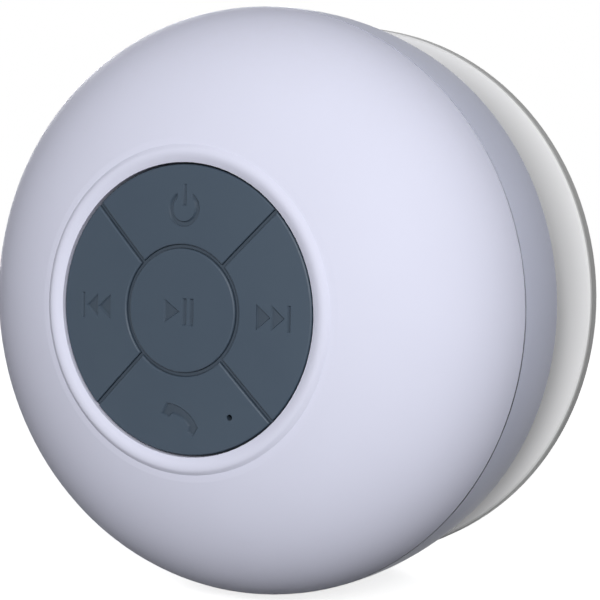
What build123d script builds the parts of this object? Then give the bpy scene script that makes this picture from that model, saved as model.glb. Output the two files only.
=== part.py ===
from build123d import *
import os
from math import acos, asin, cos, pi, radians, sin, tan

os.makedirs("parts", exist_ok=True)

# A round waterproof speaker on a suction cup. The wall is the plane y = 0, the cup's centre is the
# origin, +Z is up and the keypad faces -Y. A height is a distance from the wall, so y = -height.

# Body
body_radius = 43.0
shell_wall = 2.2
dome_base = 26.0
dome_rise = 25.0
dome_squareness = 2.55
parting_height = 31.0
parting_gap = 0.3
band_edge_draft = 0.65
band_edge_height = 17.9
band_edge_chamfer = 0.7
back_height = 16.4
back_flat_radius = 26.0
back_wall = 2.2
cover_extra_wall = 0.4
cover_corner = 0.8
cover_ramp_low = 2.6
cover_ramp_high = 0.6
spigot_inset = 3.1
spigot_wall = 1.8
spigot_rise = 3.2
spigot_clearance = 0.2
seal_section = 0.6
seal_groove_depth = 1.15
seal_squeeze = 0.05
seal_offset = 0.9

# Keypad
keypad_share = 0.4628
keypad_clearance = 0.28
ring_width = 2.47
ring_rise = 0.5
ring_flank = 0.6
ring_shoulder = 0.08
crease_depth = 0.05
crease_width = 1.0
play_key_radius = 8.5
groove_width = 0.5
key_setback = 0.15
key_crown = 0.75
key_thickness = 1.35
key_edge = 0.28
key_travel = 0.5
key_under_clearance = 0.3
key_circle_offset = 0.15
key_body_depth = 3.0
stem_radius = 1.5
stem_clearance = 0.6
web_thickness = 0.8
web_flange = 2.5
rib_clearance = 0.11
rib_depth = 0.36
rib_height = 4.0
symbol_line = 0.76
symbol_depth = 0.28
symbol_overrun = 0.15
symbol_taper = 40.0
symbol_drop = 0.15
power_circle_radius = 2.5
power_circle_drop = 0.45
power_gap_width = 2.1
power_gap_height = 2.4
power_bar_height = 3.1
power_bar_offset = 1.9
triangle_half_height = 1.75
triangle_reach = 2.15
triangle_step = 2.22
skip_bar_offset = 2.2
bar_half_height = 1.9
play_offset = 2.75
play_reach = 2.6
pause_offset = 0.55
pause_step = 1.12
phone_shift = 0.35
phone_half_length = 3.0
phone_bow_height = 0.85
phone_end_depth = 1.85
phone_cheek_length = 1.25
phone_cheek_depth = 1.65
phone_neck_length = 1.45
phone_neck_depth = 0.85
phone_inner_bow = 0.5
phone_angle = -31.0
frame_thickness = 1.0
frame_flange = 0.8
frame_standoff = 2.8
frame_pillar_radius = 1.5
frame_pillar_inset = 1.4
frame_hole_clearance = 0.3
mic_x = 7.8
mic_z = -14.0
mic_hole_radius = 0.42

# Control board
board_clearance = 0.6
board_thickness = 1.6
board_screw_inset = 2.5
board_screw_radius = 1.0
board_screw_length = 5.0
board_boss_radius = 2.4
switch_side = 6.0
switch_height = 2.0
pin_radius = 1.05
pin_clearance = 0.08
pin_length = 1.3
pin_engagement = 0.3
pin_floor_gap = 0.2
mic_radius = 2.0
mic_height = 1.4
boot_wall = 0.55
boot_clearance = 0.05
boot_roof_gap = 0.1
connector_length = 5.0
connector_width = 4.0
connector_height = 3.0
plug_inset = 3.0
module_inset = 10.4
module_width = 13.0
module_length = 17.0
module_thickness = 0.8
module_can_width = 10.0
module_can_length = 11.0
module_can_height = 1.2
module_can_offset = 2.0
chip_side = 6.0
chip_thickness = 1.0
chip_inset = 10.8
coil_side = 4.5
coil_height = 1.8
coil_inset = 12.5
crystal_width = 5.0
crystal_length = 4.0
crystal_inset = 8.2
capacitor_radius = 2.0
capacitor_height = 2.0
resistor_length = 1.6
resistor_width = 0.8
resistor_thickness = 0.6
resistor_step = 3.0
resistor_inset = 18.0
resistor_low_z = 10.0
head_height = 1.2
head_radius = 1.9
recess_share = 0.45
thread_clearance = 0.05
pilot_overrun = 0.5
board_pilot_overrun = 0.2

# Housing screws
screw_radius = 1.3
screw_boss_radius = 3.0
screw_boss_clearance = 0.5
screw_head_radius = 2.4
screw_head_height = 1.8
screw_seat_depth = 6.0
screw_reach = 6.0
screw_hole_clearance = 0.2

# Loudspeaker
side_bay = 18.0
speaker_ring_wall = 2.4
speaker_ring_height = 2.8
gasket_thickness = 0.6
gasket_inset = 0.3
flange_overhang = 0.2
flange_thickness = 0.8
flange_width = 5.2
basket_wall = 1.0
basket_depth = 9.0
basket_taper = 3.8
basket_wall_lean = 0.1
basket_bore_gap = 0.6
window_width = 13.0
window_reach = 11.0
window_edge = 0.8
ear_offset = 2.0
ear_radius = 2.4
ear_boss_radius = 2.2
ear_neck = 1.2
ear_pilot_floor = 0.6
ear_screw_gap = 0.3
terminal_length = 4.0
terminal_width = 2.2
terminal_height = 1.5
terminal_inset = 2.4
surround_roll = 1.6
surround_sheet = 0.3
surround_width = 3.2
surround_lap = 2.0
cone_lip = 1.0
cone_lip_lean = 0.2
cone_depth = 5.4
cone_sheet = 0.35
coil_radius = 8.0
former_wall = 0.3
winding_thickness = 0.35
winding_length = 3.0
coil_gap = 0.35
coil_length = 6.6
coil_end = 0.3
coil_overlap = 0.4
cap_rise = 2.3
cap_seat = 0.7
glue_gap = 0.02
spider_wave = 0.7
spider_wave_count = 4
spider_collar = 0.4
spider_rim = 1.4
spider_edge_gap = 0.3
plate_radius = 14.5
plate_thickness = 2.0
magnet_radius = 15.5
magnet_thickness = 3.5
magnet_bore = 9.8
yoke_thickness = 1.7
slot_count = 14
slot_width = 2.2
slot_inner = 12.2
slot_edge = 2.2
mesh_thickness = 0.3
mesh_clearance = 0.1

# Battery
battery_ring_gap = 1.7
battery_wall_gap = 0.27
battery_width = 25.0
battery_height = 16.0
battery_pad_thickness = 0.8
battery_pad_inset = 0.5
battery_corner = 1.6
cradle_clearance = 0.3
cradle_wall = 1.2
cradle_height = 4.4
cradle_length = 7.0
cradle_shift = 0.5

# Charging port
port_height = 24.6
port_depth = 1.8
port_length = 12.6
port_width = 6.8
anchor_length = 2.8
flap_clearance = 0.25
flap_seat_gap = 0.1
flap_blank = 6.0
hinge_gap = 0.2
anchor_bond = 0.2
socket_length = 5.6
socket_width = 7.6
socket_height = 2.8
socket_wall = 0.35
socket_recess = 0.2
socket_clearance = 0.15
socket_back_wall = 0.8
tongue_thickness = 0.6
tongue_width = 3.7
tongue_setback = 0.6
plug_depth = 1.2
plug_clearance = 0.5
plug_side_gap = 0.3
port_block_depth = 3.0
port_block_wall = 1.0
recess_blank = 5.0
charge_board_length = 9.5
charge_board_width = 12.0
charge_board_thickness = 1.0
charge_screw_x = 7.0
charge_screw_z = 4.0
charge_post_radius = 1.6
charge_screw_depth = 2.8
charge_pilot_overrun = 0.4
charge_head_trim = 0.2

# Hub, stud and suction cup
hub_radius = 8.5
hub_cap = 1.2
bush_radius = 6.0
bush_length = 7.0
stud_radius = 4.0
stud_clearance = 0.06
thread_pitch = 3.0
thread_turns = 2.0
stud_plate_radius = 7.5
stud_plate_thickness = 2.0
stud_plate_height = 5.5
stud_chamfer = 0.4
thread_spare = 0.2
neck_radius = 9.0
neck_height = 12.0
washer_thickness = 1.1
washer_gap = 0.05
washer_bore_clearance = 0.35
washer_inset = 0.3
cup_radius = 42.2
cup_rim = 2.8
cup_edge = 0.4
cup_land = 3.2
cup_shoulder = 9.6
dish_height = 3.6
cup_waist_share = 0.6
cup_waist_dip = 0.6
neck_fillet = 2.0
neck_fillet_waist = 0.6
neck_fillet_rise = 0.7

# Leads: radius, share of a run that a bend may take, and the places their routes pass
wire_radius = 0.6
bend_share = 0.45
battery_lead_drop = 3.4
battery_lead_reach = 6.0
battery_lead_x = 4.0
battery_lead_z = 1.85
battery_lead_run = 9.1
charge_lead_x = 4.2
charge_lead_z = 4.9
charge_lead_rise = 5.3
charge_lead_low_x = 3.35
charge_lead_low_z = 11.0
charge_lead_low_drop = 5.9
charge_lead_high_x = 7.35
charge_lead_high_z = 18.5
charge_lead_high_drop = 2.1
charge_lead_run = 8.0
speaker_lead_rise = 6.0
speaker_lead_x = 1.8

# Sizes and heights that follow from the sizes above
keypad_radius = keypad_share * body_radius
key_circle_radius = (play_key_radius + keypad_radius) / 2 + key_circle_offset
frame_pillar_circle_radius = keypad_radius - frame_pillar_inset
band_edge_radius = body_radius - band_edge_draft
cover_bore = body_radius - shell_wall - cover_extra_wall
spigot_radius = body_radius - spigot_inset
spigot_bore = spigot_radius - spigot_wall
screw_circle_radius = spigot_bore - screw_boss_radius - screw_boss_clearance
board_radius = screw_circle_radius - screw_boss_radius - board_clearance
board_screw_circle_radius = board_radius - board_screw_inset
speaker_ring_radius = body_radius - side_bay
flange_radius = speaker_ring_radius + flange_overhang
flange_bore = speaker_ring_radius - flange_width
ear_circle_radius = speaker_ring_radius + ear_offset
basket_floor_radius = flange_bore - basket_taper
cone_radius = flange_bore - surround_width
seat_inner = speaker_ring_radius - speaker_ring_wall
slot_outer = seat_inner - slot_edge
battery_inner_x = speaker_ring_radius + battery_ring_gap
battery_corner_radius = spigot_bore - battery_wall_gap
battery_outer_x = (battery_corner_radius**2 - (battery_width / 2) ** 2) ** 0.5
battery_x = (battery_inner_x + battery_outer_x) / 2
battery_thickness = battery_outer_x - battery_inner_x
crease_radius = keypad_radius + keypad_clearance + ring_width
hub_height = neck_height + washer_thickness + 2 * washer_gap
floor_height = back_height + back_wall
spigot_top = parting_height + spigot_rise
half_gap = parting_gap / 2


def dome_height(radius, inset=0.0):
    """Height of the dome's surface, or of the surface that lies inset below it, at a radius."""
    share = radius / (body_radius - inset)
    return dome_base + (dome_rise - inset) * (1 - share**dome_squareness) ** (1 / dome_squareness)


def dome_radius(height, inset=0.0):
    """Radius of the same surface at a height."""
    share = (height - dome_base) / (dome_rise - inset)
    return (body_radius - inset) * (1 - share**dome_squareness) ** (1 / dome_squareness)


def dome_curve(low_height, top_radius, inset=0.0, count=9):
    """Points of that surface from a height near the parting up to a radius near the keypad."""
    low = (low_height - dome_base) / (dome_rise - inset)
    top = top_radius / (body_radius - inset)
    start = asin(low ** (dome_squareness / 2))
    end = acos(top ** (dome_squareness / 2))
    points = []
    for step in range(count):
        turn = start + (end - start) * step / (count - 1)
        radius = (body_radius - inset) * cos(turn) ** (2 / dome_squareness)
        height = dome_base + (dome_rise - inset) * sin(turn) ** (2 / dome_squareness)
        points.append((radius, height))
    return points


key_rim_height = dome_height(crease_radius) - key_setback
key_underside = key_rim_height - key_thickness
web_top = key_underside - key_travel - key_under_clearance
web_underside = web_top - web_thickness
frame_underside = web_underside - frame_thickness
board_front = frame_underside - frame_standoff
board_back = board_front - board_thickness
switch_top = board_front + switch_height
pin_top = switch_top + key_under_clearance + pin_engagement
web_radius = keypad_radius + web_flange
frame_radius = web_radius + frame_flange
ring_top = floor_height + speaker_ring_height
flange_height = ring_top + gasket_thickness
basket_top = flange_height + basket_depth
plate_top = basket_top + plate_thickness
magnet_top = plate_top + magnet_thickness
pole_radius = coil_radius - former_wall - coil_gap
plate_bore = coil_radius + winding_thickness + coil_gap
battery_floor = floor_height + battery_pad_thickness
port_floor_x = -(body_radius - port_depth)
socket_mouth_x = port_floor_x + socket_recess
charge_board_top = port_height - socket_height / 2
charge_board_underside = charge_board_top - charge_board_thickness
charge_board_x = port_floor_x + port_block_depth + socket_clearance

# Local x is the radius and local y the height in a turned profile
turning = Plane((0, 0, 0), x_dir=(1, 0, 0), z_dir=(0, 0, -1))


def facing(height):
    """Plane at a height, seen from the front: local x is X, local y is Z."""
    return Plane.XZ.offset(height)


def save(node, name):
    """Label a finished piece and write its file."""
    node.part.label = name
    export_step(node.part, f"parts/{name}.step")


def polar(radius, angle):
    """X and Z of a point at an angle above +X."""
    return (radius * cos(radians(angle)), radius * sin(radians(angle)))


def cap_points(radius, base, rise):
    """Apex, middle and edge of an arc centred on the Y axis; a negative rise dips to the wall."""
    ball = (radius**2 + rise**2) / (2 * abs(rise))
    middle = abs(rise) - ball + (ball**2 - radius**2 / 4) ** 0.5
    middle_rise = middle if rise > 0 else -middle
    return [(0, base + rise), (radius / 2, base + middle_rise), (radius, base)]


def ring(low_height, high_height, outer, inner=0.0, mode=Mode.ADD):
    """Tube round the Y axis between two heights, added to the open part."""
    with BuildSketch(facing(low_height)) as section:
        Circle(outer)
        if inner > 0:
            Circle(inner, mode=Mode.SUBTRACT)
    extrude(section.sketch, amount=high_height - low_height, mode=mode)


def posts(low_height, high_height, radius, places, mode=Mode.ADD):
    """Round posts, or holes, at a list of X and Z places, in the open part."""
    with BuildSketch(facing(low_height)) as section:
        with Locations(*places):
            Circle(radius)
    extrude(section.sketch, amount=high_height - low_height, mode=mode)


def block(low_height, high_height, width, length, place, mode=Mode.ADD):
    """Block of a width along X and a length along Z, in the open part."""
    with BuildSketch(facing(low_height)) as section:
        with Locations(place):
            Rectangle(width, length)
    extrude(section.sketch, amount=high_height - low_height, mode=mode)


housing_screw_places = [polar(screw_circle_radius, angle) for angle in (60, 120, 240, 300)]
board_screw_places = [polar(board_screw_circle_radius, angle) for angle in (45, 135, 225, 315)]
ear_places = [polar(ear_circle_radius, angle) for angle in (45, 135, 225, 315)]
key_places = {
    "power": (0, key_circle_radius),
    "previous": (-key_circle_radius, 0),
    "play": (0, 0),
    "next": (key_circle_radius, 0),
    "phone": (0, -key_circle_radius),
}
charge_post_places = [(charge_board_x + charge_screw_x, charge_screw_z * side) for side in (-1, 1)]

# Front shell: dome, raised ring round the keypad, seat for the keypad and screw bosses
opening_radius = keypad_radius + keypad_clearance
shell_bore = spigot_radius + spigot_clearance
shell_step = spigot_top + spigot_clearance * 2
shell_low = parting_height + half_gap

with BuildPart() as shell_hollow:
    inner_curve = dome_curve(shell_step, dome_radius(web_top, shell_wall), shell_wall)
    with BuildSketch(turning):
        with BuildLine():
            Spline(inner_curve)
            Polyline(inner_curve[-1], (0, inner_curve[-1][1]), (0, dome_base))
            Line((0, dome_base), (shell_bore, dome_base))
            Polyline((shell_bore, dome_base), (shell_bore, shell_step), inner_curve[0])
        make_face()
    revolve(axis=Axis.Y)
    posts(shell_low, dome_base + dome_rise, screw_boss_radius, housing_screw_places, Mode.SUBTRACT)
    posts(board_front, dome_base + dome_rise, board_boss_radius, board_screw_places, Mode.SUBTRACT)

with BuildPart() as front_shell:
    crease_outer = crease_radius + crease_width
    outer_curve = dome_curve(shell_low, crease_outer)
    crease_floor = dome_height(crease_radius) - crease_depth
    ring_crest = dome_height(crease_radius) + ring_rise
    ring_inner = (opening_radius, key_rim_height + key_setback)
    flank_top = crease_radius - ring_flank
    crest_radius = flank_top - ring_flank
    ring_points = [
        (crease_radius, crease_floor),
        ((crease_radius + flank_top) / 2, (crease_floor + ring_crest) / 2),
        (flank_top, ring_crest - ring_shoulder),
        (crest_radius, ring_crest),
        ((crest_radius + opening_radius) / 2, (ring_crest + ring_inner[1]) / 2 + ring_shoulder),
        ring_inner,
    ]
    with BuildSketch(turning):
        with BuildLine():
            Spline(outer_curve)
            Line(outer_curve[-1], ring_points[0])
            Spline(ring_points)
            Polyline(ring_inner, (0, ring_inner[1]), (0, shell_low), outer_curve[0])
        make_face()
    revolve(axis=Axis.Y)
    add(shell_hollow.part, mode=Mode.SUBTRACT)
    ring(web_top - 1, ring_crest + 1, opening_radius, mode=Mode.SUBTRACT)
    pilot_top = shell_low + screw_reach + pilot_overrun
    pilot_radius = screw_radius + thread_clearance
    posts(shell_low - 1, pilot_top, pilot_radius, housing_screw_places, Mode.SUBTRACT)
    board_pilot_top = board_back + board_screw_length + board_pilot_overrun
    board_pilot = board_screw_radius + thread_clearance
    posts(board_front - 1, board_pilot_top, board_pilot, board_screw_places, Mode.SUBTRACT)
save(front_shell, "front_shell")


def rear_body():
    """Solid of the rear cover's outside: the band, the shallow cone of the back, and the hub."""
    with BuildPart() as outside:
        with BuildSketch(turning):
            with BuildLine():
                band_top = (dome_radius(parting_height - half_gap), parting_height - half_gap)
                band_low = (band_edge_radius, band_edge_height)
                ThreePointArc(band_top, (body_radius, dome_base), band_low)
                Polyline(
                    band_low,
                    (band_edge_radius - band_edge_chamfer, band_edge_height - band_edge_chamfer),
                    (back_flat_radius, back_height),
                    (hub_radius, back_height),
                    (hub_radius, hub_height),
                    (0, hub_height),
                    (0, parting_height - half_gap),
                    band_top,
                )
            make_face()
        revolve(axis=Axis.Y)
    return outside.part


# Rear cover: band, back with sound slots, hub, speaker seat, screw bosses, cradle and port
hub_top = hub_height + bush_length + hub_cap
cradle_z = (battery_width + cradle_wall) / 2 + cradle_clearance
port_block_x = port_floor_x + port_block_depth / 2
recess_length = port_length + anchor_length + anchor_bond
recess_middle = (anchor_length + anchor_bond) / 2

with BuildPart() as cover_hollow:
    with BuildSketch(turning):
        with BuildLine():
            Polyline(
                (0, floor_height),
                (cover_bore - cover_corner, floor_height),
                (cover_bore, floor_height + cover_corner),
                (cover_bore, parting_height - cover_ramp_low),
                (spigot_bore, parting_height - cover_ramp_high),
                (spigot_bore, spigot_top + 1),
                (0, spigot_top + 1),
                (0, floor_height),
            )
        make_face()
    revolve(axis=Axis.Y)
    boss_top = parting_height - half_gap
    cradle_top = floor_height + cradle_height
    ring(floor_height, hub_top, hub_radius, mode=Mode.SUBTRACT)
    ring(floor_height, ring_top, speaker_ring_radius, seat_inner, Mode.SUBTRACT)
    posts(floor_height, flange_height, ear_boss_radius, ear_places, Mode.SUBTRACT)
    posts(floor_height, boss_top, screw_boss_radius, housing_screw_places, Mode.SUBTRACT)
    posts(
        floor_height,
        charge_board_underside,
        charge_post_radius,
        charge_post_places,
        Mode.SUBTRACT,
    )
    for side in (-1, 1):
        cradle_place = (battery_x + cradle_shift, cradle_z * side)
        block(floor_height, cradle_top, cradle_length, cradle_wall, cradle_place, Mode.SUBTRACT)
    block_half = port_width / 2 + port_block_wall
    block(
        port_height - block_half,
        port_height + block_half,
        port_block_depth,
        port_length + 2 * port_block_wall,
        (port_block_x, 0),
        Mode.SUBTRACT,
    )

with BuildPart() as rear_cover:
    add(rear_body())
    ring(parting_height - 1, spigot_top, spigot_radius, spigot_bore)
    add(cover_hollow.part, mode=Mode.SUBTRACT)
    groove_floor = spigot_radius - seal_groove_depth
    groove_low = parting_height + seal_offset
    groove_high = groove_low + 2 * (seal_section + seal_squeeze)
    ring(groove_low, groove_high, spigot_radius + 1, groove_floor, Mode.SUBTRACT)
    ring(hub_height - 1, hub_height + bush_length, bush_radius, mode=Mode.SUBTRACT)
    with BuildSketch(facing(back_height - 1)):
        with PolarLocations((slot_inner + slot_outer) / 2, slot_count):
            SlotOverall(slot_outer - slot_inner, slot_width)
    extrude(amount=back_wall + 1, mode=Mode.SUBTRACT)
    ear_pilot = board_screw_radius + thread_clearance
    ear_pilot_low = floor_height + ear_pilot_floor
    posts(ear_pilot_low, flange_height, ear_pilot, ear_places, Mode.SUBTRACT)
    post_pilot_low = charge_board_underside - charge_screw_depth - charge_pilot_overrun
    posts(post_pilot_low, charge_board_top, ear_pilot, charge_post_places, Mode.SUBTRACT)
    through = screw_radius + screw_hole_clearance
    posts(back_height - 1, spigot_top, through, housing_screw_places, Mode.SUBTRACT)
    seat_height = back_height + screw_seat_depth
    seat_radius = screw_head_radius + screw_hole_clearance
    posts(back_height - 1, seat_height, seat_radius, housing_screw_places, Mode.SUBTRACT)
    recess_x = port_floor_x - recess_blank / 2
    block(
        port_height - port_width / 2,
        port_height + port_width / 2,
        recess_blank,
        recess_length,
        (recess_x, recess_middle),
        Mode.SUBTRACT,
    )
    block(
        port_height - socket_height / 2 - socket_clearance,
        port_height + socket_height / 2 + socket_clearance,
        2 * port_block_depth + 2,
        socket_width + 2 * socket_clearance,
        (port_floor_x, 0),
        Mode.SUBTRACT,
    )
save(rear_cover, "rear_cover")

# Ring that seals the two halves, lying in the spigot's groove
with BuildPart() as shell_seal:
    with BuildSketch(turning):
        with Locations((groove_floor + seal_section + seal_squeeze, (groove_low + groove_high) / 2)):
            Circle(seal_section)
    revolve(axis=Axis.Y)
save(shell_seal, "shell_seal")


# Keypad


def crown(lift):
    """Solid under the keypad's shallow crown, raised by a lift."""
    arc = cap_points(keypad_radius, key_rim_height + lift, key_crown)
    with BuildPart() as under:
        with BuildSketch(turning):
            with BuildLine():
                ThreePointArc(*arc)
                Polyline(arc[2], (keypad_radius, board_front), (0, board_front), arc[0])
            make_face()
        revolve(axis=Axis.Y)
    return under.part


def power_symbol(x, z):
    """Open circle with an upright bar in its gap."""
    with Locations((x, z - power_circle_drop)):
        with BuildSketch(mode=Mode.PRIVATE) as open_circle:
            Circle(power_circle_radius)
            Circle(power_circle_radius - symbol_line, mode=Mode.SUBTRACT)
            with Locations((0, power_circle_radius)):
                Rectangle(power_gap_width, power_gap_height, mode=Mode.SUBTRACT)
        add(open_circle.sketch)
    with Locations((x, z - power_circle_drop + power_bar_offset)):
        Rectangle(symbol_line, power_bar_height)


def triangle_symbol(x, z, reach):
    """Triangle with its upright side at x, pointing right, or left for a negative reach."""
    half = triangle_half_height
    outline = [(x, z - half), (x + reach, z), (x, z + half)]
    if reach < 0:
        outline.reverse()
    Polygon(*outline, align=None)


def bar_symbol(x, z):
    """Upright bar, a little taller than a triangle."""
    with Locations((x, z)):
        Rectangle(symbol_line, 2 * bar_half_height)


def phone_symbol(x, z):
    """Handset: a bow with an ear piece and a mouth piece."""
    with BuildSketch(mode=Mode.PRIVATE) as handset:
        with BuildLine():
            half = phone_half_length
            cheek = half - phone_cheek_length
            neck = phone_neck_length
            bow = ThreePointArc((-half, 0), (0, phone_bow_height), (half, 0))
            Polyline(
                bow @ 1,
                (half, -phone_end_depth),
                (cheek, -phone_cheek_depth),
                (neck, -phone_neck_depth),
            )
            ThreePointArc((neck, -phone_neck_depth), (0, -phone_inner_bow), (-neck, -phone_neck_depth))
            Polyline(
                (-neck, -phone_neck_depth),
                (-cheek, -phone_cheek_depth),
                (-half, -phone_end_depth),
                bow @ 0,
            )
        make_face()
    with Locations(Location((x + phone_shift, z, 0), (0, 0, phone_angle))):
        add(handset.sketch)


def draw_symbol(name, x, z):
    """Symbol of one key, centred on a place in the open sketch."""
    low = z - symbol_drop
    if name == "power":
        power_symbol(x, z)
    elif name == "play":
        triangle_symbol(x - play_offset, low, play_reach)
        bar_symbol(x + pause_offset, low)
        bar_symbol(x + pause_offset + pause_step, low)
    elif name == "phone":
        phone_symbol(x, z)
    else:
        way = 1 if name == "next" else -1
        start = way * (skip_bar_offset - symbol_line / 2 - 2 * triangle_step)
        triangle_symbol(x + start, low, way * triangle_reach)
        triangle_symbol(x + start + way * triangle_step, low, way * triangle_reach)
        bar_symbol(x + way * skip_bar_offset, low)


def sector_outline(angle, gap):
    """Quarter of the keypad between two diagonal grooves, pointing at an angle."""
    tip = gap / 2 * 2**0.5
    reach = 2 * keypad_radius
    corners = [(tip, 0), (tip + reach, reach), (tip + reach, -reach)]
    with BuildSketch(mode=Mode.PRIVATE) as wedge:
        with BuildLine():
            Polyline(*reversed(corners), close=True)
        make_face()
    Circle(keypad_radius)
    Circle(play_key_radius + gap, mode=Mode.SUBTRACT)
    with Locations(Location((0, 0, 0), (0, 0, angle))):
        add(wedge.sketch, mode=Mode.INTERSECT)


def build_key(name, angle):
    """One key: crowned pad with rounded edges, sunk symbol, and a stem down to its switch."""
    x, z = key_places[name]
    local_rise = key_crown * (1 - (x**2 + z**2) / keypad_radius**2)
    with BuildPart() as symbol:
        with BuildSketch(facing(key_rim_height + local_rise)) as outline:
            draw_symbol(name, x, z)
        extrude(outline.sketch, amount=key_crown)
        extrude(outline.sketch, amount=-symbol_depth - symbol_overrun, taper=symbol_taper)
        add(crown(-symbol_depth), mode=Mode.SUBTRACT)
    with BuildPart() as key:
        with BuildSketch(facing(key_underside)):
            if name == "play":
                Circle(play_key_radius)
            else:
                sector_outline(angle, groove_width)
        extrude(amount=key_body_depth)
        add(crown(0.0), mode=Mode.INTERSECT)
        fillet(key.faces().sort_by(Axis.Y)[0].edges(), key_edge)
        add(symbol.part, mode=Mode.SUBTRACT)
        posts(pin_top, key_underside, stem_radius, [(x, z)])
        if name == "phone":
            tall = key_rim_height + key_crown
            posts(key_underside - 1, tall, mic_hole_radius, [(mic_x, mic_z)], Mode.SUBTRACT)
    return key


key_angles = {"power": 90, "previous": 180, "play": 0, "next": 0, "phone": 270}
for key_name, key_angle in key_angles.items():
    save(build_key(key_name, key_angle), f"{key_name}_key")

# Silicone sheet behind the keys, with ribs that floor the grooves
with BuildPart() as web_ribs:
    with BuildSketch(facing(web_underside + web_thickness / 2)):
        rib_width = groove_width - 2 * rib_clearance
        rib_middle = play_key_radius + groove_width / 2
        Circle(rib_middle + rib_width / 2)
        Circle(rib_middle - rib_width / 2, mode=Mode.SUBTRACT)
        rib_length = keypad_radius - rib_middle
        with PolarLocations(rib_middle + rib_length / 2, 4, start_angle=45):
            Rectangle(rib_length, rib_width)
    extrude(amount=rib_height)
    add(crown(-rib_depth), mode=Mode.INTERSECT)

with BuildPart() as keypad_web:
    ring(web_underside, web_top, web_radius)
    add(web_ribs.part)
    stem_hole = stem_radius + stem_clearance
    posts(web_underside - 1, web_top, stem_hole, key_places.values(), Mode.SUBTRACT)
    posts(web_underside - 1, web_top, 2 * mic_hole_radius, [(mic_x, mic_z)], Mode.SUBTRACT)
save(keypad_web, "keypad_web")

# Plate that clamps the sheet's flange to the dome, with pillars down to the board
with BuildPart() as keypad_frame:
    ring(frame_underside, web_underside, frame_radius)
    pillar_places = [polar(frame_pillar_circle_radius, angle) for angle in (45, 135, 225, 315)]
    posts(board_front, frame_underside, frame_pillar_radius, pillar_places)
    frame_hole = stem_hole + frame_hole_clearance
    posts(frame_underside - 1, web_top, frame_hole, key_places.values(), Mode.SUBTRACT)
    posts(frame_underside - 1, web_top, 2 * mic_hole_radius, [(mic_x, mic_z)], Mode.SUBTRACT)
save(keypad_frame, "keypad_frame")

# Control board and what is on it
with BuildPart() as control_board:
    ring(board_back, board_front, board_radius)
    board_hole = board_screw_radius + screw_hole_clearance
    posts(board_back - 1, board_front + 1, board_hole, board_screw_places, Mode.SUBTRACT)
save(control_board, "control_board")

with BuildPart() as switch_bodies:
    pin_bottom = pin_top - pin_length
    pin_bore = pin_radius + pin_clearance
    for place in key_places.values():
        block(board_front, switch_top, switch_side, switch_side, place)
    pin_places = key_places.values()
    bore_floor = pin_bottom - key_travel - pin_floor_gap
    posts(bore_floor, switch_top, pin_bore, pin_places, Mode.SUBTRACT)
save(switch_bodies, "switch_bodies")

for key_name, place in key_places.items():
    with BuildPart() as switch_pin:
        posts(pin_bottom, pin_top, pin_radius, [place])
    save(switch_pin, f"{key_name}_switch_pin")

with BuildPart() as microphone:
    posts(board_front, board_front + mic_height, mic_radius, [(mic_x, mic_z)])
save(microphone, "microphone")

with BuildPart() as mic_boot:
    mic_place = [(mic_x, mic_z)]
    boot_bore = mic_radius + boot_clearance
    posts(board_front, frame_underside, boot_bore + boot_wall, mic_place)
    boot_roof = board_front + mic_height + boot_roof_gap
    posts(board_front, boot_roof, boot_bore, mic_place, Mode.SUBTRACT)
    posts(board_front, frame_underside, 2 * mic_hole_radius, mic_place, Mode.SUBTRACT)
save(mic_boot, "mic_boot")

with BuildPart() as bluetooth_module:
    module_place = polar(board_radius - module_inset, 202.8)
    can_place = (module_place[0], module_place[1] - module_can_offset)
    can_high = board_back - module_thickness
    can_low = can_high - module_can_height
    block(can_high, board_back, module_width, module_length, module_place)
    block(can_low, can_high, module_can_width, module_can_length, can_place)
save(bluetooth_module, "bluetooth_module")

with BuildPart() as board_components:
    chip_low = board_back - chip_thickness
    chip_place = polar(board_radius - chip_inset, -23.4)
    coil_place = polar(board_radius - coil_inset, -3.1)
    crystal_place = polar(board_radius - crystal_inset, 105.3)
    capacitor_places = [
        polar(board_radius - 2 * capacitor_radius, -32.8),
        polar(board_radius - chip_side - chip_thickness, -45),
    ]
    block(chip_low, board_back, chip_side, chip_side, chip_place)
    block(board_back - coil_height, board_back, coil_side, coil_side, coil_place)
    block(chip_low, board_back, crystal_width, crystal_length, crystal_place)
    posts(board_back - capacitor_height, board_back, capacitor_radius, capacitor_places)
    resistor_low = board_back - resistor_thickness
    resistor_x = board_radius - resistor_inset
    for row in range(4):
        right_place = (resistor_x, resistor_step * row - resistor_low_z)
        left_place = polar(resistor_inset - resistor_step + resistor_step * row, 127.0)
        block(resistor_low, board_back, resistor_length, resistor_width, right_place)
        block(resistor_low, board_back, resistor_length, resistor_width, left_place)
save(board_components, "board_components")

# Plugs of the three leads on the board, and the loudspeaker's terminal strip
lead_height = board_back - connector_height / 2
battery_plug = polar(board_radius - plug_inset, 64.4)
charge_plug = polar(board_radius - plug_inset, 117.5)
speaker_plug = polar(board_radius - plug_inset, 278.75)
terminal_place = polar(flange_radius - terminal_inset, 250)
terminal_low = flange_height + flange_thickness
terminal_top = terminal_low + terminal_height
with BuildPart() as wire_connectors:
    for place in (battery_plug, charge_plug, speaker_plug):
        low = board_back - connector_height
        block(low, board_back, connector_length, connector_width, place)
    block(terminal_low, terminal_top, terminal_length, terminal_width, terminal_place)
save(wire_connectors, "wire_connectors")


def screw_group(places, seat, tip, shank, head, head_rise):
    """Pan-head screws whose heads lie below a seat and whose shanks reach up to a tip."""
    with BuildPart() as screws:
        posts(seat, tip, shank, places)
        posts(seat - head_rise, seat, head, places)
        posts(seat - head_rise, seat - head_rise / 2, head * recess_share, places, Mode.SUBTRACT)
    return screws


board_screw_tip = board_back + board_screw_length
board_screws = screw_group(
    board_screw_places, board_back, board_screw_tip, board_screw_radius, head_radius, head_height
)
save(board_screws, "board_screws")

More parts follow.
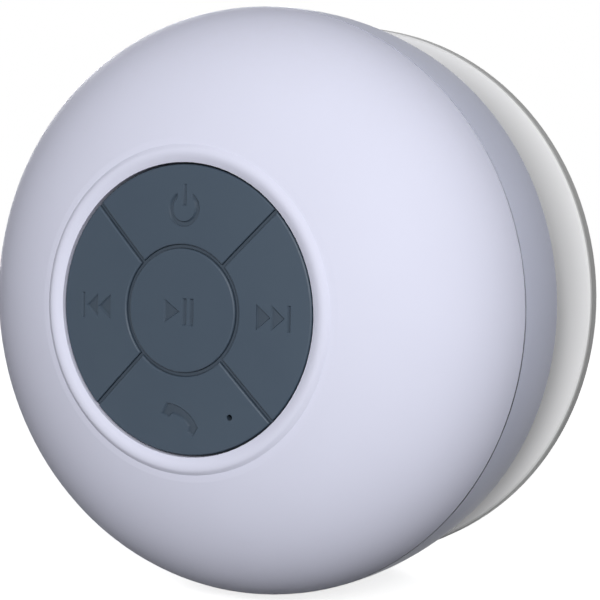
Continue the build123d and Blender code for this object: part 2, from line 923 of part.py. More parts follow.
housing_screw_tip = shell_low + screw_reach
housing_screws = screw_group(
    housing_screw_places,
    seat_height,
    housing_screw_tip,
    screw_radius,
    screw_head_radius,
    screw_head_height,
)
save(housing_screws, "housing_screws")

# Battery on its foam pad, beside the loudspeaker
with BuildPart() as battery_pad:
    pad_width = battery_thickness - 2 * battery_pad_inset
    pad_length = battery_width - 4 * battery_pad_inset
    block(floor_height, battery_floor, pad_width, pad_length, (battery_x, 0))
save(battery_pad, "battery_pad")

with BuildPart() as battery:
    block(
        battery_floor,
        battery_floor + battery_height,
        battery_thickness,
        battery_width,
        (battery_x, 0),
    )
    fillet(battery.edges().filter_by(Axis.Y), battery_corner)
save(battery, "battery")

# Charging socket on its own small board
with BuildPart() as charge_board:
    charge_place = (charge_board_x + charge_board_length / 2, 0)
    block(
        charge_board_underside,
        charge_board_top,
        charge_board_length,
        charge_board_width,
        charge_place,
    )
    charge_hole = board_screw_radius + screw_hole_clearance
    posts(0, charge_board_top + 1, charge_hole, charge_post_places, Mode.SUBTRACT)
save(charge_board, "charge_board")

with BuildPart() as charge_screws:
    posts(
        charge_board_underside - charge_screw_depth,
        charge_board_top,
        board_screw_radius,
        charge_post_places,
    )
    charge_head_radius = head_radius - charge_head_trim
    charge_head_top = charge_board_top + head_height
    posts(charge_board_top, charge_head_top, charge_head_radius, charge_post_places)
save(charge_screws, "charge_screws")

with BuildPart() as usb_socket:
    socket_x = socket_mouth_x + socket_length / 2
    cavity_length = socket_length - socket_back_wall
    block(
        port_height - socket_height / 2,
        port_height + socket_height / 2,
        socket_length,
        socket_width,
        (socket_x, 0),
    )
    block(
        port_height - socket_height / 2 + socket_wall,
        port_height + socket_height / 2 - socket_wall,
        cavity_length,
        socket_width - 2 * socket_wall,
        (socket_mouth_x + cavity_length / 2, 0),
        Mode.SUBTRACT,
    )
    tongue_length = cavity_length - plug_depth - tongue_setback
    block(
        port_height - tongue_thickness / 2,
        port_height + tongue_thickness / 2,
        tongue_length,
        tongue_width,
        (socket_mouth_x + cavity_length - tongue_length / 2, 0),
    )
save(usb_socket, "usb_socket")

# Silicone flap over the port: lid that follows the band, and a plug for the socket's mouth
flap_top_z = (port_length - hinge_gap) / 2
flap_bottom_z = -(port_length / 2 - flap_clearance)
flap_low = port_height - port_width / 2 + flap_clearance
flap_high = port_height + port_width / 2 - flap_clearance
flap_floor_x = port_floor_x - flap_seat_gap
hinge_z = flap_top_z + hinge_gap / 2

with BuildPart() as port_flap:
    flap_middle = (flap_top_z + flap_bottom_z) / 2
    flap_length = flap_top_z - flap_bottom_z
    blank_x = flap_floor_x - flap_blank / 2
    block(flap_low, flap_high, flap_blank, flap_length, (blank_x, flap_middle))
    add(rear_body(), mode=Mode.INTERSECT)
    plug_width = socket_width - 2 * socket_wall - 2 * plug_clearance
    plug_half = socket_height / 2 - socket_wall - plug_side_gap
    plug_reach = plug_depth + socket_recess + flap_seat_gap
    block(
        port_height - plug_half,
        port_height + plug_half,
        plug_reach,
        plug_width,
        (flap_floor_x + plug_reach / 2, 0),
    )
save(port_flap, "port_flap")

with BuildPart() as flap_anchor:
    anchor_low_z = hinge_z + hinge_gap / 2
    anchor_high_z = port_length / 2 + anchor_length
    anchor_middle = (anchor_low_z + anchor_high_z) / 2
    anchor_span = anchor_high_z - anchor_low_z
    anchor_x = port_floor_x - flap_blank / 2
    block(flap_low, flap_high, flap_blank, anchor_span, (anchor_x, anchor_middle))
    add(rear_body(), mode=Mode.INTERSECT)
save(flap_anchor, "flap_anchor")

# Loudspeaker, facing the slots in the back
with BuildPart() as speaker_gasket:
    ring(ring_top, flange_height, speaker_ring_radius - gasket_inset, seat_inner)
save(speaker_gasket, "speaker_gasket")

with BuildPart() as speaker_basket:
    flange_front = flange_height + flange_thickness
    floor_low = basket_top - basket_wall
    wall_width = basket_wall + basket_wall_lean
    inner_foot = basket_floor_radius - wall_width
    with BuildSketch(turning):
        with BuildLine():
            Polyline(
                (flange_bore, flange_height),
                (flange_radius, flange_height),
                (flange_radius, flange_front),
                (flange_bore + wall_width, flange_front),
                (basket_floor_radius, floor_low),
                (basket_floor_radius, basket_top),
                (plate_bore + basket_bore_gap, basket_top),
                (plate_bore + basket_bore_gap, floor_low),
                (inner_foot, floor_low),
                (flange_bore, flange_front),
                (flange_bore, flange_height),
            )
        make_face()
    revolve(axis=Axis.Y)
    with BuildSketch(facing(flange_height)):
        with PolarLocations(ear_circle_radius - ear_neck, 4, start_angle=45):
            Rectangle(2 * ear_neck, 2 * ear_radius)
        with Locations(*ear_places):
            Circle(ear_radius)
    extrude(amount=flange_thickness)
    with BuildSketch(facing(flange_front + window_edge)):
        with PolarLocations((flange_bore + basket_floor_radius) / 2, 4):
            Rectangle(window_reach, window_width)
    extrude(amount=floor_low - flange_front - 2 * window_edge, mode=Mode.SUBTRACT)
    ear_hole = board_screw_radius + screw_hole_clearance
    posts(flange_height - 1, flange_front + 1, ear_hole, ear_places, Mode.SUBTRACT)
save(speaker_basket, "speaker_basket")

with BuildPart() as speaker_screws:
    posts(ear_pilot_low + ear_screw_gap, flange_front, board_screw_radius, ear_places)
    posts(flange_front, flange_front + head_height, head_radius, ear_places)
save(speaker_screws, "speaker_screws")

with BuildPart() as top_plate:
    ring(basket_top, plate_top, plate_radius, plate_bore)
save(top_plate, "top_plate")

with BuildPart() as magnet:
    ring(plate_top, magnet_top, magnet_radius, magnet_bore)
save(magnet, "magnet")

with BuildPart() as yoke:
    ring(magnet_top, magnet_top + yoke_thickness, plate_radius)
    ring(basket_top, magnet_top, pole_radius)
save(yoke, "yoke")

with BuildPart() as surround:
    roll_outer_radius = flange_bore
    roll_middle = (roll_outer_radius + cone_radius) / 2
    sheet_low = flange_height - surround_sheet
    with BuildSketch(turning):
        with BuildLine():
            Polyline(
                (cone_radius, flange_height),
                (cone_radius - cone_lip, flange_height),
                (cone_radius - cone_lip, sheet_low),
                (cone_radius, sheet_low),
            )
            ThreePointArc(
                (cone_radius, sheet_low),
                (roll_middle, flange_height - surround_roll),
                (roll_outer_radius, sheet_low),
            )
            Polyline(
                (roll_outer_radius, sheet_low),
                (roll_outer_radius + surround_lap, sheet_low),
                (roll_outer_radius + surround_lap, flange_height),
                (roll_outer_radius, flange_height),
            )
            ThreePointArc(
                (roll_outer_radius, flange_height),
                (roll_middle, flange_height - surround_roll + surround_sheet),
                (cone_radius, flange_height),
            )
        make_face()
    revolve(axis=Axis.Y)
save(surround, "surround")

with BuildPart() as cone:
    neck_low = flange_height + cone_depth
    with BuildSketch(turning):
        with BuildLine():
            Polyline(
                (cone_radius, flange_height),
                (cone_radius, flange_height + cone_sheet),
                (cone_radius - cone_lip, flange_height + cone_sheet),
                (coil_radius, neck_low + cone_sheet),
                (coil_radius, neck_low),
                (cone_radius - cone_lip - cone_lip_lean, flange_height),
                (cone_radius, flange_height),
            )
        make_face()
    revolve(axis=Axis.Y)
save(cone, "cone")

with BuildPart() as voice_coil:
    former_low = neck_low - coil_overlap
    former_high = former_low + coil_length
    former_inner = coil_radius - former_wall
    winding_high = former_high - coil_end
    ring(former_low, former_high, coil_radius, former_inner)
    ring(winding_high - winding_length, winding_high, coil_radius + winding_thickness, former_inner)
save(voice_coil, "voice_coil")

with BuildPart() as dust_cap:
    cap_edge_radius = former_inner - glue_gap
    cap_base = former_low + cap_seat
    cap_low = cap_points(cap_edge_radius, cap_base, -cap_rise)
    cap_high = [(radius, height + cone_sheet) for radius, height in reversed(cap_low)]
    with BuildSketch(turning):
        with BuildLine():
            ThreePointArc(*cap_low)
            Line(cap_low[-1], cap_high[0])
            ThreePointArc(*cap_high)
            Line(cap_high[-1], cap_low[0])
        make_face()
    revolve(axis=Axis.Y)
save(dust_cap, "dust_cap")

with BuildPart() as spider:
    spider_outer = inner_foot - spider_edge_gap
    spider_inner = coil_radius + glue_gap
    spider_low = floor_low - surround_sheet
    wave_start = spider_inner + spider_collar
    wave_end = spider_outer - spider_rim
    wave_length = (wave_end - wave_start) / spider_wave_count
    wave_middle = spider_low - spider_wave / 2
    crest_points = [(spider_inner, wave_middle), (wave_start, wave_middle)]
    for turn in range(spider_wave_count):
        crest = spider_low - spider_wave if turn % 2 == 0 else spider_low
        crest_points.append((wave_start + wave_length * (turn + 0.5), crest))
    crest_points.append((wave_end, spider_low))
    crest_points.append((spider_outer, spider_low))
    top_points = [(radius, height + surround_sheet) for radius, height in reversed(crest_points)]
    with BuildSketch(turning):
        with BuildLine():
            Polyline(*crest_points, *top_points, close=True)
        make_face()
    revolve(axis=Axis.Y)
save(spider, "spider")

with BuildPart() as acoustic_mesh:
    ring(
        floor_height,
        floor_height + mesh_thickness,
        seat_inner - mesh_clearance,
        hub_radius + mesh_clearance,
    )
save(acoustic_mesh, "acoustic_mesh")


# Leads inside the housing


def corner_radii(points):
    """Bend radius of each corner of a lead: as large as its two runs allow."""
    radii = []
    for before, corner, after in zip(points, points[1:], points[2:]):
        run_in = Vector(*corner) - Vector(*before)
        run_out = Vector(*after) - Vector(*corner)
        half_turn = radians(run_in.get_angle(run_out) / 2)
        radii.append(bend_share * min(run_in.length, run_out.length) / tan(half_turn))
    return radii


def build_lead(name, places):
    """Round lead through a list of X, Z and height places."""
    points = [(x, -height, z) for x, z, height in places]
    radii = corner_radii(points)
    with BuildPart() as lead:
        with BuildLine() as route:
            FilletPolyline(*points, radius=radii)
        path = route.wires()[0]
        with BuildSketch(Plane(path @ 0, z_dir=path % 0)):
            Circle(wire_radius)
        sweep(path=path)
    tube_volume = pi * wire_radius**2 * path.length
    bends = ", ".join(f"{radius:.1f}" for radius in radii)
    print(f"{name}: {path.length:.1f} mm long, bend radii {bends} mm")
    print(f"{name}: volume {lead.part.volume / tube_volume:.4f} of section times length")
    return lead


battery_top = battery_floor + battery_height
battery_end = battery_width / 2
battery_lead_low = battery_top - battery_lead_drop
battery_places = [
    (battery_x, battery_end, battery_lead_low),
    (battery_x, battery_end + battery_lead_reach, battery_lead_low),
    (
        battery_x - battery_lead_x,
        battery_plug[1] - battery_lead_z,
        lead_height - battery_lead_drop,
    ),
    (battery_plug[0] + battery_lead_run, battery_plug[1], lead_height),
    (battery_plug[0] + connector_length / 2, battery_plug[1], lead_height),
]
save(build_lead("battery_lead", battery_places), "battery_lead")

charge_start = charge_board_x + charge_lead_x
charge_low_x = charge_start + charge_lead_low_x
charge_high_x = charge_start + charge_lead_high_x
charge_places = [
    (charge_start, charge_lead_z, charge_board_top),
    (charge_start, charge_lead_z, charge_board_top + charge_lead_rise),
    (charge_low_x, charge_lead_low_z, lead_height - charge_lead_low_drop),
    (charge_high_x, charge_lead_high_z, lead_height - charge_lead_high_drop),
    (charge_plug[0] - charge_lead_run, charge_plug[1], lead_height),
    (charge_plug[0] - connector_length / 2, charge_plug[1], lead_height),
]
save(build_lead("charge_lead", charge_places), "charge_lead")

speaker_places = [
    (terminal_place[0], terminal_place[1], terminal_top),
    (terminal_place[0], terminal_place[1], terminal_top + speaker_lead_rise),
    (terminal_place[0] + speaker_lead_x, speaker_plug[1], lead_height),
    (speaker_plug[0] - connector_length / 2, speaker_plug[1], lead_height),
]
save(build_lead("speaker_lead", speaker_places), "speaker_lead")

# Brass bush in the hub, threaded stud in the cup, washer between them, and the cup
with BuildPart() as threaded_bush:
    ring(hub_height, hub_height + bush_length, bush_radius, stud_radius + stud_clearance)
save(threaded_bush, "threaded_bush")

with BuildPart() as cup_stud:
    thread_reach = hub_height + thread_pitch * thread_turns + thread_spare
    ring(stud_plate_height, stud_plate_height + stud_plate_thickness, stud_plate_radius)
    ring(stud_plate_height, thread_reach, stud_radius)
    chamfer(cup_stud.faces().sort_by(Axis.Y)[0].edges(), stud_chamfer)
save(cup_stud, "cup_stud")

with BuildPart() as neck_washer:
    washer_low = neck_height + washer_gap
    washer_bore = stud_radius + washer_bore_clearance
    ring(washer_low, washer_low + washer_thickness, hub_radius - washer_inset, washer_bore)
save(neck_washer, "neck_washer")

with BuildPart() as suction_cup:
    with BuildSketch(turning):
        with BuildLine():
            Polyline(
                (cup_radius - cup_edge - cup_land, 0),
                (cup_radius - cup_edge, 0),
                (cup_radius, cup_edge),
                (cup_radius, cup_rim - cup_edge),
                (cup_radius - cup_edge, cup_rim),
            )
            waist_height = (cup_rim + cup_shoulder) / 2 - cup_waist_dip
            shoulder = (neck_radius + neck_fillet, cup_shoulder)
            ThreePointArc(
                (cup_radius - cup_edge, cup_rim),
                (cup_waist_share * cup_radius, waist_height),
                shoulder,
            )
            ThreePointArc(
                shoulder,
                (neck_radius + neck_fillet_waist, cup_shoulder + neck_fillet_rise),
                (neck_radius, neck_height),
            )
            dish = cap_points(cup_radius - cup_edge - cup_land, 0, dish_height)
            Polyline((neck_radius, neck_height), (0, neck_height), dish[0])
            ThreePointArc(*dish)
        make_face()
    revolve(axis=Axis.Y)
    ring(
        stud_plate_height,
        stud_plate_height + stud_plate_thickness,
        stud_plate_radius,
        mode=Mode.SUBTRACT,
    )
    ring(stud_plate_height, neck_height, stud_radius, mode=Mode.SUBTRACT)
save(suction_cup, "suction_cup")
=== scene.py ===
import math

import bpy
from mathutils import Matrix, Vector


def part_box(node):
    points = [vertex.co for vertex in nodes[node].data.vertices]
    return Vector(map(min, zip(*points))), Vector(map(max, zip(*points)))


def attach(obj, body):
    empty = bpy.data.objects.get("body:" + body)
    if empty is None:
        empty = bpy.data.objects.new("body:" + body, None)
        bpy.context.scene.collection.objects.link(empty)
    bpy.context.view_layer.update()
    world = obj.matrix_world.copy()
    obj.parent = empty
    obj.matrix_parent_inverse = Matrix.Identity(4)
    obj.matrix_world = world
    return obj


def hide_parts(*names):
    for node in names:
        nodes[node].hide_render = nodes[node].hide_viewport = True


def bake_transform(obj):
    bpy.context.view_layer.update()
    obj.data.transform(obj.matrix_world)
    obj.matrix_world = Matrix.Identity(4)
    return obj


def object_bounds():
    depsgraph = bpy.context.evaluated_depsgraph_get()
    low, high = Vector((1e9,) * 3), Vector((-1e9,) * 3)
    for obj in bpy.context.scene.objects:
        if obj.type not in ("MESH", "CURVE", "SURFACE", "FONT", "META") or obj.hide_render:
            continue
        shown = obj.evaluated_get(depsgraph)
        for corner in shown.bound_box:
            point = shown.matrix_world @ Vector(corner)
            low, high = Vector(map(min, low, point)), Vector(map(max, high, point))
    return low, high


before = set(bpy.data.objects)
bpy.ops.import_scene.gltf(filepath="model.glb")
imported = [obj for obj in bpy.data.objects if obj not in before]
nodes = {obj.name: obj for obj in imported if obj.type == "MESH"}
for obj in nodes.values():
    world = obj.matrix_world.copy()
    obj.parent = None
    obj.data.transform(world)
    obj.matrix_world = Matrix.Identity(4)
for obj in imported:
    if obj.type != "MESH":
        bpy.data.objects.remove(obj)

cad_low, cad_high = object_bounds()
bpy.ops.object.select_all(action="DESELECT")


# Rear cover: one moulding in smooth grey-blue plastic, satin as it leaves the tool. It carries the
# sound slots, the recess of the charging port and the hub, and four screws from behind pull it
# against the front shell.
def effect(name, inputs, outputs):
    """Empty node group with named sockets, and the sockets of its input and output nodes."""
    tree = bpy.data.node_groups.new(name, "ShaderNodeTree")
    tree.interface.new_socket("Place", in_out="INPUT", socket_type="NodeSocketVector")
    for label, value in inputs:
        socket = tree.interface.new_socket(label, in_out="INPUT", socket_type="NodeSocketFloat")
        socket.default_value = value
    for label in outputs:
        tree.interface.new_socket(label, in_out="OUTPUT", socket_type="NodeSocketFloat")
    return tree, tree.nodes.new("NodeGroupInput").outputs, tree.nodes.new("NodeGroupOutput").inputs


def put(tree, kind, settings=None, **sockets):
    """One shader node with its settings and the values, or the links, of its sockets."""
    node = tree.nodes.new(kind)
    for label, value in (settings or {}).items():
        setattr(node, label, value)
    for label, value in sockets.items():
        wanted = label.replace("_", " ")
        socket = next(s for s in node.inputs if s.name == wanted and s.enabled)
        if isinstance(value, bpy.types.NodeSocket):
            tree.links.new(value, socket)
        else:
            socket.default_value = value
    return node


def math_step(tree, operation, *values, clamp=False):
    """Output of one math node."""
    node = tree.nodes.new("ShaderNodeMath")
    node.operation, node.use_clamp = operation, clamp
    for socket, value in zip(node.inputs, values):
        if isinstance(value, bpy.types.NodeSocket):
            tree.links.new(value, socket)
        else:
            socket.default_value = value
    return node.outputs[0]


def noise(tree, place, scale, detail=3.0, low=0.0, high=1.0):
    """Noise texture, stretched so that low to high fills 0 to 1."""
    texture = put(tree, "ShaderNodeTexNoise", Vector=place, Scale=scale, Detail=detail)
    ramp = put(tree, "ShaderNodeMapRange", Value=texture.outputs[0], From_Min=low, From_Max=high)
    return ramp.outputs[0]


def mixed(tree, share, first, second):
    """Colour between two colours, either of them a link or three numbers."""
    pair = [c if isinstance(c, bpy.types.NodeSocket) else (*c, 1) for c in (first, second)]
    node = put(
        tree, "ShaderNodeMix", {"data_type": "RGBA"}, Factor=share, A=pair[0], B=pair[1],
    )
    return next(s for s in node.outputs if s.enabled)


moulded, given, out = effect(
    "moulded_surface", [("Grain Scale", 5000.0), ("Patch Scale", 60.0)], ["Grain", "Patch"],
)
moulded.links.new(noise(moulded, given["Place"], given["Grain Scale"]), out["Grain"])
moulded.links.new(
    noise(moulded, given["Place"], given["Patch Scale"], 4.0, 0.3, 0.7), out["Patch"],
)

rubbed, given, out = effect("rubbed_edges", [("Scale", 250.0), ("Amount", 0.5)], ["Mask"])
ridge = rubbed.nodes.new("ShaderNodeNewGeometry").outputs["Pointiness"]
ridge = put(rubbed, "ShaderNodeMapRange", Value=ridge, From_Min=0.52, From_Max=0.62).outputs[0]
scuffs = noise(rubbed, given["Place"], given["Scale"], 5.0, 0.4, 0.65)
rubbed.links.new(
    math_step(rubbed, "MULTIPLY", ridge, math_step(rubbed, "MULTIPLY", scuffs, given["Amount"])),
    out["Mask"],
)

dusted, given, out = effect("settled_dust", [("Scale", 900.0), ("Amount", 0.3)], ["Mask"])
facing = dusted.nodes.new("ShaderNodeNewGeometry").outputs["Normal"]
facing = put(dusted, "ShaderNodeSeparateXYZ", Vector=facing).outputs["Z"]
lying = put(dusted, "ShaderNodeMapRange", Value=facing, From_Min=0.15, From_Max=0.95).outputs[0]
flecks = noise(dusted, given["Place"], given["Scale"], 4.0, 0.45, 0.75)
dusted.links.new(
    math_step(dusted, "MULTIPLY", lying, math_step(dusted, "MULTIPLY", flecks, given["Amount"])),
    out["Mask"],
)


def finish(
    name, tone, deep_tone, rough, grain, relief, patch_scale=60.0, wear=0.0, wear_tone=None,
    dust=0.0, detail=None, detail_scale=1000.0, detail_tone=None, detail_relief=0.0,
    **shader_values,
):
    """Material of one moulded, cut, woven or drawn surface, in metres.

    It mixes the tones in patches, then adds the detail group's shade, worn edges and dust.
    """
    material = bpy.data.materials.new(name)
    material.use_nodes = True
    tree = material.node_tree
    shader = tree.nodes["Principled BSDF"]
    place = tree.nodes.new("ShaderNodeTexCoord").outputs["Object"]
    surface = put(
        tree, "ShaderNodeGroup", {"node_tree": moulded}, Place=place, Grain_Scale=grain,
        Patch_Scale=patch_scale,
    ).outputs
    colour = mixed(tree, surface["Patch"], tone, deep_tone)
    height = math_step(tree, "MULTIPLY", surface["Grain"], relief)
    if detail:
        extra = put(
            tree, "ShaderNodeGroup", {"node_tree": detail}, Place=place, Scale=detail_scale,
        ).outputs
        height = math_step(tree, "MULTIPLY_ADD", extra["Height"], detail_relief, height)
        if detail_tone:
            colour = mixed(tree, extra["Shade"], colour, detail_tone)
    if wear > 0:
        edges = put(tree, "ShaderNodeGroup", {"node_tree": rubbed}, Place=place, Amount=wear)
        colour = mixed(tree, edges.outputs["Mask"], colour, wear_tone)
    rough_now = put(
        tree, "ShaderNodeMapRange", Value=surface["Patch"], To_Min=rough[0], To_Max=rough[1],
    ).outputs[0]
    if dust > 0:
        settled = put(
            tree, "ShaderNodeGroup", {"node_tree": dusted}, Place=place, Amount=dust,
        ).outputs["Mask"]
        colour = mixed(tree, settled, colour, (0.62, 0.61, 0.60))
        rough_now = math_step(tree, "MULTIPLY_ADD", settled, 0.3, rough_now, clamp=True)
    tree.links.new(colour, shader.inputs["Base Color"])
    tree.links.new(rough_now, shader.inputs["Roughness"])
    bump = put(tree, "ShaderNodeBump", Height=height, Distance=1.0, Strength=1.0)
    tree.links.new(bump.outputs[0], shader.inputs["Normal"])
    for label, value in shader_values.items():
        shader.inputs[label.replace("_", " ")].default_value = value
    return material


def dress(material, *names):
    """Gives CAD nodes a material in place of the one that they came with."""
    for name in names:
        mesh = nodes[name].data
        mesh.materials.clear()
        mesh.materials.append(material)


def off_axis(tree, place):
    """X, Y and Z of a place, and its distance from the axis that the body turns on."""
    parts = put(tree, "ShaderNodeSeparateXYZ", Vector=place).outputs
    squares = math_step(
        tree, "MULTIPLY_ADD", parts["X"], parts["X"],
        math_step(tree, "MULTIPLY", parts["Z"], parts["Z"]),
    )
    return parts, math_step(tree, "SQRT", squares)


mm = 0.001
seam_y, seam_half, seam_blur = -31.0 * mm, 0.16 * mm, 0.03 * mm
seam_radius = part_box("rear_cover")[1].x
seam_shade_inner, seam_shade_outer = seam_radius - 1.2 * mm, seam_radius - 0.6 * mm
seam_shade_high, seam_shade_low = 24.0 * mm, -12.0 * mm

# Painted shade for the shadow deep in the seam between the two halves, stronger low down than at
# the top.
painted_seam_shade, given, out = effect("seam_painted_shade", [("Scale", 300.0)], ["Height", "Shade"])
parts, radius = off_axis(painted_seam_shade, given["Place"])
across = math_step(painted_seam_shade, "ABSOLUTE", math_step(painted_seam_shade, "SUBTRACT", parts["Y"], seam_y))
inside = put(
    painted_seam_shade, "ShaderNodeMapRange", Value=across, From_Min=seam_half + seam_blur,
    From_Max=seam_half,
).outputs[0]
outer = put(
    painted_seam_shade, "ShaderNodeMapRange", Value=radius, From_Min=seam_shade_inner, From_Max=seam_shade_outer,
).outputs[0]
shade_strength = math_step(
    painted_seam_shade, "MULTIPLY_ADD", noise(painted_seam_shade, given["Place"], given["Scale"], 3.0, 0.3, 0.7), 0.2, 0.8,
)
lower = put(
    painted_seam_shade, "ShaderNodeMapRange", Value=parts["Z"], From_Min=seam_shade_high, From_Max=seam_shade_low,
    To_Min=0.3,
).outputs[0]
shade_strength = math_step(painted_seam_shade, "MULTIPLY", shade_strength, lower)
painted_seam_shade.links.new(
    math_step(painted_seam_shade, "MULTIPLY", math_step(painted_seam_shade, "MULTIPLY", inside, outer), shade_strength),
    out["Shade"],
)

# The cover's edge at the seam takes the seam's painted shade, nearly black.
cover_plastic = finish(
    "cover_plastic", (0.68, 0.705, 0.855), (0.65, 0.675, 0.82), (0.34, 0.44), 2600.0, 0.000003,
    patch_scale=45.0, dust=0.10, detail=painted_seam_shade, detail_scale=300.0,
    detail_tone=(0.040, 0.042, 0.050), Specular_IOR_Level=0.02,
)
dress(cover_plastic, "rear_cover")


# Front shell: the dome, moulded in the same plastic and sprayed with a soft matt paint in a pale
# lilac white. A raised ring is moulded round the keypad's opening, and the paint's fine orange
# peel is just felt by a finger.
# The shell's edge at the seam takes the same painted shade, in a dark grey.
shell_paint = finish(
    "shell_paint", (0.765, 0.778, 0.925), (0.745, 0.757, 0.90), (0.50, 0.60), 5200.0, 0.000005,
    patch_scale=38.0, dust=0.06, detail=painted_seam_shade, detail_scale=300.0,
    detail_tone=(0.10, 0.10, 0.12), Specular_IOR_Level=0.02,
)
dress(shell_paint, "front_shell")


# Seals: black rubber mouldings, a ring in the groove between the two halves, a boot round the
# microphone and the washer at the cup's neck. They are dull, with a bloom on the surface.
seal_rubber = finish(
    "seal_rubber", (0.026, 0.026, 0.029), (0.040, 0.040, 0.043), (0.55, 0.70), 3500.0, 0.000006,
    patch_scale=150.0, dust=0.10, Specular_IOR_Level=0.4,
)
dress(seal_rubber, "shell_seal", "mic_boot", "surround", "neck_washer")


# Keypad: one dark slate silicone moulding with five keys that stand up from it, sunk symbols, and
# soft grooves between the keys. The sheet behind is clamped round its edge by a black frame.
key_names = ("power", "previous", "play", "next", "phone")
crown_rise = 0.75 * mm
play_low, play_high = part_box("play_key")
power_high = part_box("power_key")[1]
keypad_radius = power_high.z
crown_ball = (keypad_radius**2 + crown_rise**2) / (2 * crown_rise)
crown_apex = play_low.y
crown_centre = (0, crown_apex + crown_ball, 0)
recess_shade_start, recess_shade_full = 0.03 * mm, 0.42 * mm

# Painted shade lies in all that is sunk below the keys' crown, the symbols and the grooves, darker
# the deeper they lie.
painted_recess_shade, given, out = effect("sunk_painted_shade", [("Scale", 300.0)], ["Height", "Shade"])
from_centre = put(
    painted_recess_shade, "ShaderNodeMapping", Vector=given["Place"], Location=(0, -crown_centre[1], 0),
).outputs[0]
reach = put(
    painted_recess_shade, "ShaderNodeVectorMath", {"operation": "LENGTH"}, Vector=from_centre,
).outputs["Value"]
depth = put(
    painted_recess_shade, "ShaderNodeMapRange", Value=reach, From_Min=crown_ball - recess_shade_start,
    From_Max=crown_ball - recess_shade_full,
).outputs[0]
shade_strength = math_step(
    painted_recess_shade, "MULTIPLY_ADD", noise(painted_recess_shade, given["Place"], given["Scale"], 3.0, 0.3, 0.7), 0.15, 0.6,
)
painted_recess_shade.links.new(math_step(painted_recess_shade, "MULTIPLY", depth, shade_strength), out["Shade"])

# The keys' material darkens its sunk symbols and grooves with that painted shade.
key_silicone = finish(
    "key_silicone", (0.047, 0.071, 0.102), (0.043, 0.065, 0.095), (0.42, 0.52), 5200.0, 0.000004,
    patch_scale=90.0, dust=0.04, detail=painted_recess_shade, detail_scale=300.0,
    detail_tone=(0.022, 0.032, 0.046), Specular_IOR_Level=0.35,
)
dress(key_silicone, "keypad_web", *[f"{key}_key" for key in key_names])


# Groove floors: the skin of the keypad's sheet that shows between the keys, one ring round the play
# key and four bars that follow the crown. It stays still beside the keys, with a little play.
groove_width, groove_depth = 0.5 * mm, 0.40 * mm
groove_play, skin = 0.035 * mm, 0.6 * mm
groove_inner = play_high.x + groove_play
groove_outer = play_high.x + groove_width - groove_play
ring_steps, bar_steps = 128, 8
weld, crease_angle = 0.000001, math.radians(40)


def edit(piece):
    """Opens a piece for editing with all of it selected."""
    bpy.ops.object.select_all(action="DESELECT")
    piece.select_set(True)
    bpy.context.view_layer.objects.active = piece
    bpy.ops.object.mode_set(mode="EDIT")
    bpy.ops.mesh.select_all(action="SELECT")


def close_up(piece, name, material, body):
    """Merges doubles, turns the faces outwards, and gives the piece its name, finish and body.

    A piece that bends between two bodies has no body of its own.
    """
    bpy.ops.mesh.select_all(action="SELECT")
    bpy.ops.mesh.remove_doubles(threshold=weld)
    bpy.ops.mesh.normals_make_consistent(inside=False)
    bpy.ops.object.mode_set(mode="OBJECT")
    bpy.ops.object.transform_apply(location=True, rotation=True, scale=True)
    bpy.ops.object.shade_smooth_by_angle(angle=crease_angle)
    piece.name = piece.data.name = name
    piece.data.materials.clear()
    piece.data.materials.append(material)
    if body:
        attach(piece, body)


def crown_y(radius):
    """Y of the keys' shallow crown at a radius."""
    return crown_apex + crown_ball - math.sqrt(crown_ball**2 - radius**2)


def strip(low, high):
    """Rectangle in the X, Y plane between two corners, in edit mode, to be spun or extruded."""
    bpy.ops.object.select_all(action="DESELECT")
    bpy.ops.mesh.primitive_plane_add(size=1, location=(0, 0, 0))
    piece = bpy.context.object
    bpy.ops.object.mode_set(mode="EDIT")
    bpy.ops.transform.resize(value=(high[0] - low[0], high[1] - low[1], 1))
    middle = ((low[0] + high[0]) / 2, (low[1] + high[1]) / 2, 0)
    bpy.ops.transform.translate(value=middle)
    return piece


# At this depth the groove floors take nearly the full painted shade of the keys' material.
floor_y = crown_y(play_high.x) + groove_depth
ring_floor = strip((groove_inner, floor_y), (groove_outer, floor_y + skin))
bpy.ops.mesh.delete(type="ONLY_FACE")
bpy.ops.mesh.select_all(action="SELECT")
bpy.ops.mesh.spin(steps=ring_steps, angle=2 * math.pi, center=(0, 0, 0), axis=(0, 1, 0))
close_up(ring_floor, "groove_ring", key_silicone, "housing")


def groove_bar(name, turn):
    """Floor of one straight groove: a bar bent along the crown and turned to its diagonal."""
    half = groove_width / 2 - groove_play
    start, end = play_high.x + groove_width / 2, keypad_radius - 0.06 * mm
    piece = strip((-half, 0), (half, skin))
    bpy.ops.transform.rotate(value=math.radians(90), orient_axis="Y", center_override=(0, 0, 0))
    bpy.ops.transform.translate(value=(start, crown_y(start) + groove_depth, 0))
    sweep = math.asin(end / crown_ball) - math.asin(start / crown_ball)
    bpy.ops.mesh.extrude_region_move()
    for step in range(bar_steps):
        bpy.ops.transform.rotate(
            value=-sweep / bar_steps, orient_axis="Z", center_override=crown_centre,
        )
        if step < bar_steps - 1:
            bpy.ops.mesh.extrude_region_move()
    bpy.ops.mesh.select_all(action="SELECT")
    bpy.ops.object.mode_set(mode="OBJECT")
    piece.rotation_euler = (0, turn, 0)
    edit(piece)
    close_up(piece, name, key_silicone, "housing")


for count in range(4):
    groove_bar(f"groove_bar_{count + 1}", math.radians(45 + 90 * count))


